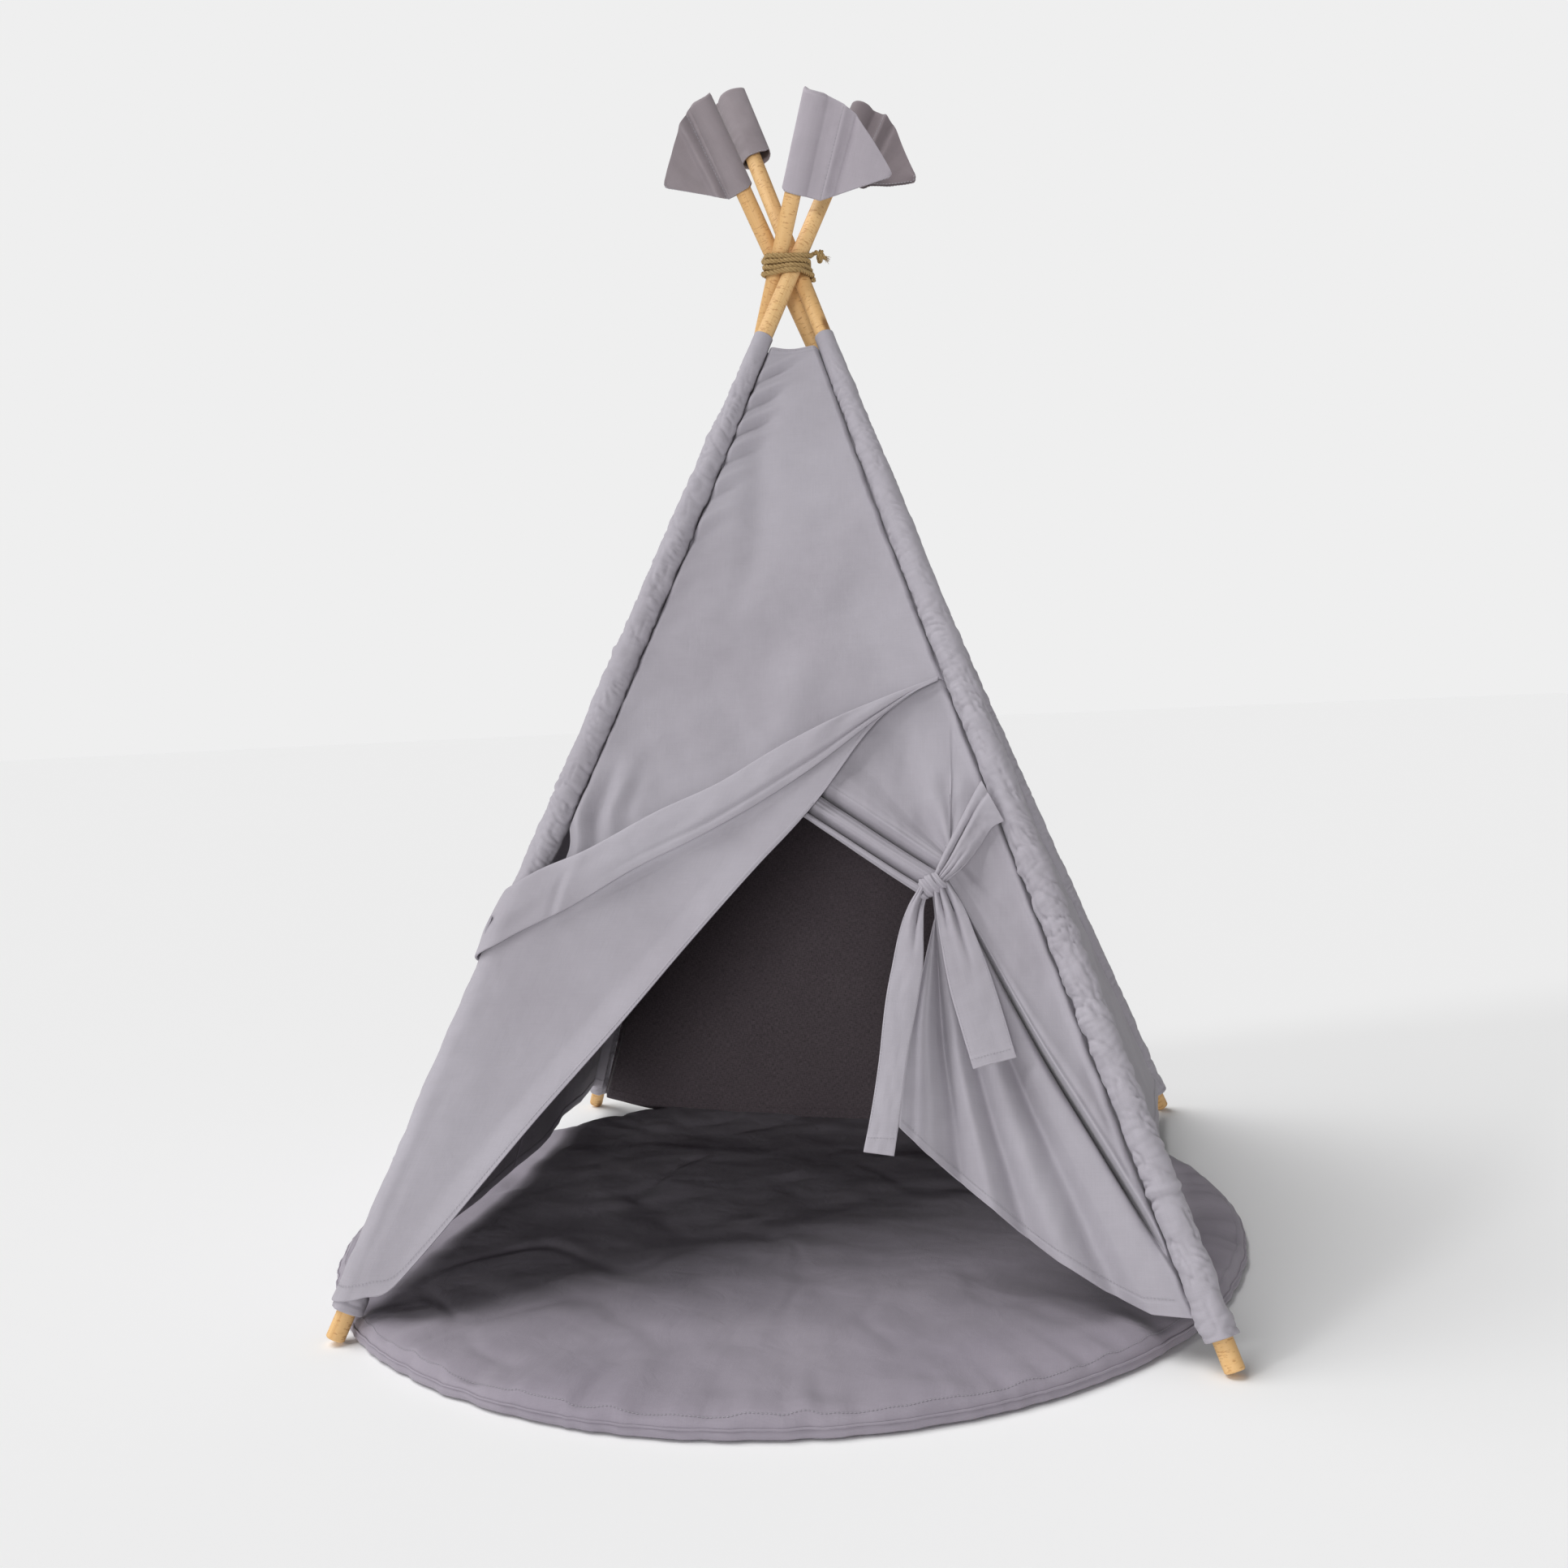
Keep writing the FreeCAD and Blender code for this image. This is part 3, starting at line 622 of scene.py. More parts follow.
def make_sleeve(corner, seed):
    """The sewn tube that holds a pole: a soft oval, pulled into short wrinkles across the pole."""
    foot, direction, _ = AXES[corner]
    inner = np.linspace(SLEEVE_LOW + 0.0015, SLEEVE_HIGH - 0.0015, 760)
    z = np.concatenate([[SLEEVE_LOW], inner, [SLEEVE_HIGH]])
    around = 48
    phi, level = np.meshgrid(np.arange(around) * 2 * math.pi / around, z, indexing="ij")
    middle = pole_at(corner, level)
    outward = np.array([foot[0], foot[1], 0.0])
    outward = unit(outward - direction * outward.dot(direction))
    side = np.cross(direction, outward)
    cx, cy = np.cos(phi), np.sin(phi)
    busy = 0.35 + 0.65 * ramp(noise(level * 4.0, 0 * level, seed), -0.5, 0.4)
    rough = 0.55 + 0.35 * ramp(0.9 - level, 0.0, 0.6)
    if corner == "front_right":
        rough = 0.55 + 0.6 * ramp(0.9 - level, 0.0, 0.25)
    slide = level + 0.006 * noise3(level * 9, cx * 0.8, cy * 0.8, seed + 7)
    puffs = np.abs(noise3(slide * 44 + cy * 0.5, cx * 0.42, cy * 0.42, seed + 1)) ** 0.65
    fine = np.abs(noise3(slide * 112 - cy * 0.9, cx * 0.7, cy * 0.7, seed + 2)) ** 0.7
    large = noise3(level * 16 + cx * 0.8, cx * 0.9, cy * 0.9, seed + 3)
    slits = crease(noise3(slide * 36 + cy * 2.4, cx * 1.5, cy * 1.5, seed + 4), 0.10)
    slits = slits * ramp(noise3(level * 20, cx * 1.3, cy * 1.3, seed + 5), 0.0, 0.4)
    slant = level + 0.011 * cy
    clusters = ramp(noise3(level * 13, cx * 0.9, cy * 0.9, seed + 8), 0.02, 0.38)
    lines = np.abs(noise3(slant * 118, cx * 0.7, cy * 0.7, seed + 9)) ** 0.6
    calm = ramp(1.30 - level, 0.0, 0.12)
    radius = sleeve_radius(level) + calm * rough * busy * (0.0060 * (puffs - 0.42) + 0.0027 * (fine - 0.4))
    radius = radius + calm * (0.0014 * large + 0.0036 * clusters * (lines - 0.42)) - rough * 0.0022 * slits
    radius = radius + 0.0010 * ramp(SLEEVE_LOW + 0.02 - level, 0, 0.001)
    if corner == "front_right":
        radius = radius + 0.0022 * bump(level, 0.185, 0.004) - 0.0010 * bump(level, 0.178, 0.003)
    radius = np.maximum(radius, 0.0131)
    flat_side = 1 - 0.07 * np.clip(-cx, 0, 1) ** 2
    points = middle + outward * (cx * radius * flat_side)[..., None] + side * (cy * radius)[..., None]
    uv = np.stack([level / direction[2], phi * 0.0195], -1)
    normals = -grid_normals(points, closed=True)
    piece = Piece(f"sleeve_{corner}_cloth")
    piece.cloth(points, uv, CLOTH, normals, closed=True)
    for height in (SLEEVE_LOW + 0.017, SLEEVE_HIGH - 0.016):
        row = int(np.argmin(abs(z - height)))
        ring = np.vstack([points[:, row], points[:1, row]])
        out = np.vstack([normals[:, row], normals[:1, row]])
        piece.stitches(ring + out * CLOTH / 2, out)
    body = "front_frame" if corner.startswith("front") else "back_frame"
    made = piece.build([cover, thread], body, [f"sleeve_{corner}"])


for number, corner in enumerate(CORNERS):
    make_sleeve(corner, 11 + 7 * number)


# ---------------------------------------------------------------- walls
INSET = 0.0015
SEAM = 0.0009
COLUMNS = np.concatenate([np.linspace(0, 0.10, 14), np.linspace(0.10, 0.5, 70)[1:]])
COLUMNS = np.concatenate([COLUMNS, 1 - COLUMNS[::-1][1:]])
MIDDLE_COLUMN = len(COLUMNS) // 2


def across_wall(wall, u, z, left=0.0):
    """t for a share u of the cloth's width, with the columns at both ends packed beside the seams. The
    cloth's edges lie just inside the sleeves; left moves the left one away from its sleeve."""
    width = wall.width(z)
    right = sleeve_radius(z) - INSET
    left = right + left
    strip = 0.013 * np.minimum(1, width / 0.16)
    side = np.minimum(u, 1 - u)
    middle = (width - left - right) / 2
    near = np.where(side < 0.10, side / 0.10 * strip, strip + (side - 0.10) / 0.40 * (middle - strip))
    return np.where(u < 0.5, (left + near) / width, 1 - (right + near) / width)


def wall_relief(wall, t, z, seed, calm=1.0):
    """How far the cloth of a wall stands out: a soft sag, pulls at the two seams, and long folds."""
    width = wall.width(z)
    left, right = t * width, (1 - t) * width
    near = np.minimum(left, right)
    sag = -0.020 * width * 4 * t * (1 - t) * ramp(1.28 - z, 0, 0.2)
    pull_left = noise((z - left * 0.55) * 17, left * 5, seed, 2) * np.exp(-left / 0.07)
    pull_right = noise((z - right * 0.55) * 17, right * 5, seed + 5, 2) * np.exp(-right / 0.07)
    short = noise((z - left * 0.9) * 46, left * 12, seed + 9) * np.exp(-left / 0.022)
    short = short + noise((z - right * 0.9) * 46, right * 12, seed + 12) * np.exp(-right / 0.022)
    broad = noise(t * width * 4.2 + z * 0.7, z * 1.6, seed + 20, 2)
    soft = noise(t * width * 11 - z * 3, z * 5.0, seed + 30, 2)
    out = sag + 0.0050 * (pull_left + pull_right) + 0.0024 * short + calm * (0.0048 * broad + 0.0016 * soft)
    edge = 1 + 0.07 * noise(z * 55, 0 * z, seed + 40)
    seam = (sleeve_radius(z) + SEAM) * edge
    groove = 0.0110 * bump(near, seam, 0.0025) + 0.004 * ramp(seam - near, 0, 0.003)
    return out * ramp(near, 0.010, 0.05) + 0.0066 * ramp(near - seam, 0.0, 0.009) - groove


def thin_rim(inside):
    """Cloth thins out over the last part of its cut edge. inside is the distance from the edge."""
    return 0.45 + 0.55 * ramp(inside, 0.0, 0.0007)


def make_wall(name, seed, material, parts):
    """A closed wall with a sewn hem at both ends. The back one trails on the mat in its middle. parts gives
    each piece's name, its first and last column, and the body it rides on."""
    wall = WALLS[name]
    hem = 0.017
    hem_rise = [0, 0.0007, 0.006, 0.012, hem - 0.0012, hem - 0.0003, hem + 0.0006, hem + 0.002]
    top_rise = WALL_TOP - HEM - np.array([0.0156, 0.0146, 0.0137, 0.007, 0.0007, 0.0])
    rise = np.concatenate([hem_rise, np.linspace(hem + 0.006, WALL_TOP - HEM - 0.018, 300), top_rise])
    u, level = np.meshgrid(COLUMNS, HEM + rise, indexing="ij")
    t = across_wall(wall, u, level)
    wave = 0.004 * noise(u * 9, 0 * u, seed + 3) * ramp(0.25 - (level - HEM), 0.0, 0.25)
    flat_level = level
    level = level + 0.005 * np.sin(math.pi * u) * ramp(HEM + 0.2 - level, 0, 0.2)
    points = wall.point(t, level, wall_relief(wall, t, level, seed, calm=1.8) + wave)
    if name == "back":
        rise = np.clip((level - HEM) / 0.42, 0, 1)
        trail = np.sin(math.pi * np.clip(u, 0, 1)) ** 0.75 * (1 - rise) ** 1.8
        points[..., 1] += trail * (-0.150 + 0.012 * noise(u * 6, level * 3, 77, 2))
        points[..., 2] -= 0.020 * np.clip(trail * 1.6, 0, 1) ** 0.8
    uv = np.stack([(t - 0.5) * wall.width(level), level * 1.07], -1)
    hems = ramp(HEM + hem - flat_level, -0.0008, 0.0008) + ramp(level, WALL_TOP - 0.0152, WALL_TOP - 0.0142)
    thick = (CLOTH + 0.0013 * hems) * thin_rim(flat_level - HEM) * thin_rim(WALL_TOP - level)
    normals = facing(grid_normals(points), wall.normal)
    rows = [int(np.argmin(abs(rise - place))) for place in (hem - 0.003, WALL_TOP - HEM - 0.012)]
    made = []
    for label, first, last, body in parts:
        piece = Piece(label)
        cut = slice(first, last)
        piece.cloth(points[cut], uv[cut], thick[cut], normals[cut])
        for row in rows:
            for face in (1, -1):
                above = thick[cut, row][:, None] / 2
                piece.sew(points[cut], face * normals[cut], (slice(None), row), above)
        obj = piece.build([material, thread if material is cover else dark_thread], body)
        made.append((obj, grid_area(wall.point(t[cut], level[cut]))))
    return made


def declare(area, held, rests_on, pieces=()):
    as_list(rests_on)
    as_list(pieces)


whole = ("back_panel_cloth", 0, len(COLUMNS), "back_frame")
(back_cloth, area), = make_wall("back", 70, charcoal, [whole])
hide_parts("back_panel")
declare(area, "stretched", ["sleeve_back_left_cloth", "sleeve_back_right_cloth"])

for name, seed in (("right", 40), ("left", 90)):
    front_half, back_half = (0, MIDDLE_COLUMN + 1), (MIDDLE_COLUMN, len(COLUMNS))
    if name == "left":
        front_half, back_half = back_half, front_half
    halves = [
        (f"{name}_panel_front_half", *front_half, "front_frame"),
        (f"{name}_panel_back_half", *back_half, "back_frame"),
    ]
    made = make_wall(name, seed, cover, halves)
    for (half, area), side in zip(made, (1, -1)):
        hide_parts(f"{name}_panel")
        corner = ("front_" if side == 1 else "back_") + name
        declare(area, "stretched", [f"sleeve_{corner}_cloth"])
        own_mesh(half)

# ---------------------------------------------------------------- front wall: the closed panel
# The fold line at the top of the left flap's band: its height over a distance to the right of the middle.
BAND_TOP = through([
    (0.2155, 0.7865), (0.150, 0.766), (0.092, 0.744), (0.011, 0.707), (-0.070, 0.662),
    (-0.151, 0.628), (-0.243, 0.582), (-0.325, 0.549), (-0.40, 0.525),
])
# Short folds that run down from the left seam: each one's height there, its depth and its half width.
PULLS = [
    (1.215, 0.0042, 0.006), (1.175, 0.0055, 0.007), (1.135, 0.0060, 0.007), (1.095, 0.0050, 0.008),
    (1.045, 0.0045, 0.009), (0.985, 0.0038, 0.011), (0.900, 0.0030, 0.014),
]


def make_front_panel():
    """The closed panel. Its lower edge is tucked behind the folded top of the left flap."""
    wall = FRONT
    hem_rise = [0.978, 0.981, 0.984, 0.9865, 0.988, 0.9895, 0.995, 0.9993, 1.0]
    rise = np.concatenate([np.linspace(0, 0.975, 230), hem_rise])
    u, v = np.meshgrid(COLUMNS, rise, indexing="ij")
    low = np.full(u.shape, 0.65)
    for _ in range(12):
        t = across_wall(wall, u, low)
        x = wall.point(t, low)[..., 0]
        low = BAND_TOP(x) - 0.002 - 0.024 * ramp(0.2155 - x, 0.0, 0.10)
    level = low + (WALL_TOP - low) * v
    level = level - 0.0035 * np.sin(math.pi * u) * ramp(v, 0.93, 1.0)
    gap = 0.019 * ramp(0.632 - level, 0.0, 0.055)
    t = across_wall(wall, u, level, left=gap)
    out = wall_relief(wall, t, level, 20)
    from_left = t * wall.width(level) - 0.015 - gap
    slant = level - from_left * 0.35
    beside_gap = bump(from_left, 0.016, 0.008) - bump(from_left, 0.036, 0.007)
    beside_gap = beside_gap + 0.8 * bump(from_left, 0.056, 0.010)
    beside_gap = beside_gap - 0.6 * bump(from_left + 0.10 * (level - 0.6), 0.082, 0.010)
    out = out + 0.0075 * ramp(0.72 - level, 0, 0.12) * beside_gap
    hollow_at = 0.030 + 0.08 * ramp(1.22 - level, 0, 0.3)
    out = out - 0.0065 * bump(from_left, hollow_at, 0.022) * bump(level, 1.06, 0.16)
    for height, depth, thin in PULLS:
        curve = level - height - 0.85 * from_left + 4.5 * from_left**2
        out = out - depth * bump(curve, 0.0, thin) * bump(from_left, 0.020, 0.026)
        out = out + 0.7 * depth * bump(curve, 2.1 * thin, thin) * bump(from_left, 0.022, 0.028)
    out = out + 0.0040 * bump(slant, 0.86, 0.05) * bump(from_left, 0.16, 0.10)
    out = out - 0.0035 * bump(slant, 0.78, 0.04) * bump(from_left, 0.2, 0.10)
    x = wall.point(t, level)[..., 0]
    above = level - BAND_TOP(x)
    out = out + 0.005 * ramp(0.20 - above, 0, 0.20) * noise(x * 14 + level * 6, level * 2.0, 33, 2)
    out = out + 0.005 * bump(x, 0.3 * (level - 0.7), 0.03) * ramp(0.30 - above, 0, 0.3)
    out = out * (0.45 + 0.55 * ramp(above, -0.01, 0.05))
    points = wall.point(t, level, out)
    thick = (CLOTH + 0.0014 * ramp(v, 0.9872, 0.9885)) * thin_rim(1 - v)
    uv = np.stack([x, level * 1.07], -1)
    normals = facing(grid_normals(points), wall.normal)
    piece = Piece("front_panel_cloth")
    piece.cloth(points, uv, thick, normals)
    piece.sew(points, normals, (slice(None), -3), 0.0013)
    made = piece.build([cover, thread], "front_frame", ["front_panel"])
    sleeves = ["sleeve_front_left_cloth", "sleeve_front_right_cloth"]
    declare(grid_area(wall.point(t, level)), "stretched", sleeves)


make_front_panel()

# ---------------------------------------------------------------- left flap
# How far from the pole's axis the flap's cloth lies, and its way a quarter round the pole.
REACH = 0.0238
ARC = REACH * math.pi / 2


def along_pole(x, z):
    """Distance across the front from the front left pole, for a point of the front wall."""
    return x - pole_at("front_left", z)[..., 0]


def by_reach(points):
    """The same outline, with x measured from the front left pole."""
    return [(float(along_pole(np.array(x), np.array(z))), z) for x, z in points]


# The flap's fold line, its band's lower edge and its free edge, each as a height over the way along the
# cloth from the front left pole: to the right above 0, round the pole and back along the left wall below.
FLAP_TOP = through(
    by_reach([
        (0.2155, 0.7870), (0.150, 0.7655), (0.092, 0.744), (0.011, 0.707),
        (-0.070, 0.662), (-0.151, 0.628), (-0.243, 0.582), (-0.318, 0.552),
    ])
    + [(-0.014, 0.541), (-ARC, 0.530), (-ARC - 0.05, 0.500), (-ARC - 0.11, 0.455)]
)
BAND_LOW = through(
    by_reach([
        (0.2155, 0.7835), (0.183, 0.7690), (0.133, 0.7350), (0.057, 0.680), (-0.018, 0.634),
        (-0.098, 0.593), (-0.179, 0.556), (-0.259, 0.512), (-0.338, 0.476),
    ])
    + [(-0.010, 0.462), (-ARC, 0.446), (-ARC - 0.05, 0.432), (-ARC - 0.11, 0.412)]
)
FLAP_LOW = through(
    by_reach([
        (0.2155, 0.785), (0.165, 0.758), (0.133, 0.731), (0.113, 0.708), (0.065, 0.643), (0.038, 0.612),
        (-0.016, 0.557), (-0.093, 0.474), (-0.192, 0.362), (-0.286, 0.260), (-0.430, 0.096),
    ])
    + [(0.055, 0.074), (0.02, 0.060), (-ARC, 0.052), (-ARC - 0.13, 0.050)]
)
# How far the flap runs back along the left wall, over the height.
WRAP_END = through([
    (0.045, 0.034), (0.15, 0.052), (0.30, 0.086), (0.40, 0.108),
    (0.43, 0.112), (0.46, 0.108), (0.50, 0.085), (0.545, 0.045),
])


def over_pole(s, z, out):
    """A point of cloth drawn across the front (s above 0), round the front left pole and back along
    the left wall (s below 0). out is its distance outside the cloth that lies on the sleeve."""
    pole = pole_at("front_left", z)
    across = unit(pole_at("front_right", z) - pole)
    back = unit(pole_at("back_left", z) - pole)
    front_out = np.stack([across[..., 1], -across[..., 0], 0 * across[..., 0]], -1)
    left_out = np.stack([-back[..., 1], back[..., 0], 0 * back[..., 0]], -1)
    width = FRONT.width(z)
    share = np.clip(s / (width - 0.015), 0, 1)
    ahead = REACH + (0.0085 - REACH) * share + out
    turn = np.clip(-s / REACH, 0, math.pi / 2)
    behind = np.clip(-s - ARC, 0, None)
    beside = REACH + out - 0.012 * ramp(behind, 0.0, 0.06)
    front_part = pole + across * np.maximum(s, 0)[..., None] + front_out * ahead[..., None]
    round_pole = front_out * np.cos(turn)[..., None] + left_out * np.sin(turn)[..., None]
    arc_part = pole + round_pole * (REACH + out)[..., None]
    left_part = pole + back * behind[..., None] + left_out * beside[..., None]
    result = np.where((s >= 0)[..., None], front_part, arc_part)
    return np.where((s < -ARC)[..., None], left_part, result)


def make_left_flap():
    """One sheet: up from its free edge to the fold line, over, and down in front as a band."""
    front_columns, wrap_columns = 190, 46
    right_end = float(along_pole(np.array(0.2155), np.array(0.7865)))
    q = np.linspace(0, 1, front_columns)
    s_front = right_end * (1 - q)
    wrap_share = np.linspace(0, 1, wrap_columns + 1)[1:]
    lower = np.concatenate([[0, 0.004, 0.03, 0.034, 0.038], np.linspace(0.05, 1.0, 120)])
    fold = np.linspace(0, math.pi, 7)[1:-1]
    band = np.linspace(0, 1, 44)
    curl = np.linspace(0, math.pi, 6)[1:]
    tuck = np.linspace(0.2, 1, 5)
    parts = (("lower", lower), ("fold", fold), ("band", band), ("curl", curl), ("tuck", tuck))
    rows = [(kind, a) for kind, shares in parts for a in shares]
    columns = front_columns + wrap_columns
    s = np.zeros((columns, len(rows)))
    z = np.full((columns, len(rows)), 0.4)
    out = np.zeros((columns, len(rows)))
    for _ in range(14):
        s[:front_columns] = s_front[:, None]
        s[front_columns:] = -wrap_share[:, None] * (ARC + WRAP_END(z[front_columns:]))
        top, low, edge = FLAP_TOP(s), BAND_LOW(s), FLAP_LOW(s)
        for r, (kind, a) in enumerate(rows):
            height = np.maximum(top[:, r] - low[:, r], 0.002)
            size = np.clip(height / 0.03, 0.15, 1.0)
            layer = 0.0042 * size
            if kind == "lower":
                z[:, r] = edge[:, r] + (top[:, r] - layer / 2 - edge[:, r]) * a
                out[:, r] = 0
            elif kind == "fold":
                z[:, r] = top[:, r] - layer / 2 + layer / 2 * math.sin(a)
                out[:, r] = layer / 2 * (1 - math.cos(a))
            elif kind == "band":
                z[:, r] = top[:, r] - layer / 2 - (height - layer) * a
                out[:, r] = layer
            elif kind == "curl":
                z[:, r] = low[:, r] + layer / 2 - 0.0013 * size * math.sin(a)
                out[:, r] = layer - 0.0013 * size * (1 - math.cos(a))
            else:
                z[:, r] = low[:, r] + layer / 2 + 0.014 * size * a
                out[:, r] = layer - 0.0026 * size
    kinds = np.array([{"lower": 0, "fold": 1, "band": 2, "curl": 3, "tuck": 3}[k] for k, _ in rows])
    top, low, edge = FLAP_TOP(s), BAND_LOW(s), FLAP_LOW(s)
    size = np.clip((top - low) / 0.05, 0.1, 1.0)
    wide = ramp(s, 0.0, 0.08)
    is_band = (kinds >= 1)[None, :] * np.ones(s.shape)
    b = np.clip((top - z) / np.maximum(top - low, 1e-4), 0, 1)
    pillow = 0.0042 * np.sin(math.pi * np.clip(b, 0, 1)) ** 0.8 * size
    groove = -0.0034 * bump(b, 0.76 - 0.10 * ramp(s, 0.2, 0.42), 0.07) * ramp(s, 0.07, 0.26)
    long_fold = 0.0030 * noise(s * 9, b * 1.4, 201, 2) + 0.0014 * noise(s * 26, b * 2.2, 207)
    upright = -0.0026 * bump(s, 0.045 + 0.01 * b, 0.006) * ramp(b, 0.15, 0.5) + 0.0016 * bump(s, 0.060, 0.010)
    front_relief = (pillow + groove + long_fold * size + upright) * is_band
    lifted = 0.0085 * bump(s, 0.318, 0.024) * bump(b, 0.0, 0.30) * ((kinds >= 1) & (kinds <= 2))[None, :]
    below = np.clip(low - z, 0, None)
    drape = (1 - is_band) * ramp(below, 0.0, 0.02)
    free = z - edge
    diagonal = noise((z + s * 0.75) * 5.5, (z - s) * 1.6, 215, 2)
    crossed = noise((z + s * 0.35) * 15, (z - s) * 3.0, 221, 2)
    sag = -0.010 * np.sin(math.pi * np.clip(s / 0.33, 0, 1)) * ramp(free, 0.0, 0.1) * wide
    lower_relief = sag + 0.0046 * diagonal * wide + 0.0016 * crossed
    lower_relief = lower_relief + 0.0015 * noise(s * 40, z * 12, 231) * ramp(0.05 - s, 0, 0.05)
    pole_side = ramp(0.04 - s, 0, 0.05)
    bunch = 0.0016 * noise(z * 34, s * 14, 241) * pole_side + 0.0010 * noise(z * 70, s * 30, 243) * pole_side
    out = out + front_relief + lifted + drape * lower_relief + (1 - is_band) * np.abs(bunch)
    out = out + 0.0020 * is_band * pole_side
    out = out * (1 - 0.75 * ramp(s, right_end - 0.05, right_end))
    points = over_pole(s, z, out)
    thick = CLOTH * np.ones(s.shape)
    thick = thick + 0.0011 * ((1 - is_band) * ramp(0.013 - free, -0.0006, 0.0006))
    uv = np.stack([s, z * 1.05 + 0.5 * is_band], -1)
    normals = facing(grid_normals(points), np.array([-0.35, -1.0, 0.3]), rows=slice(0, len(lower)))
    piece = Piece("left_door_flap_cloth")
    piece.cloth(points, uv, thick, normals)
    hem_row, band_row = 3, len(lower) + len(fold) + len(band) - 5
    start = int(np.argmin(abs(s_front - (right_end - 0.10))))
    piece.sew(points, normals, (slice(start, None), hem_row), 0.0012, pitch=0.0046)
    piece.sew(points, normals, (slice(10, None), band_row), 0.0006, pitch=0.0046)
    flat_area = grid_area(over_pole(s, z, 0 * s))
    made = piece.build([cover, thread], "front_frame", ["left_door_flap", "left_flap_wrap"])
    declare(flat_area, "folded", ["sleeve_front_left_cloth"])


make_left_flap()


# ---------------------------------------------------------------- right flap
def seam_x(z):
    """Where the flap meets the right sleeve's seam."""
    return float(pole_at("front_right", np.array(z))[0]) - 0.013


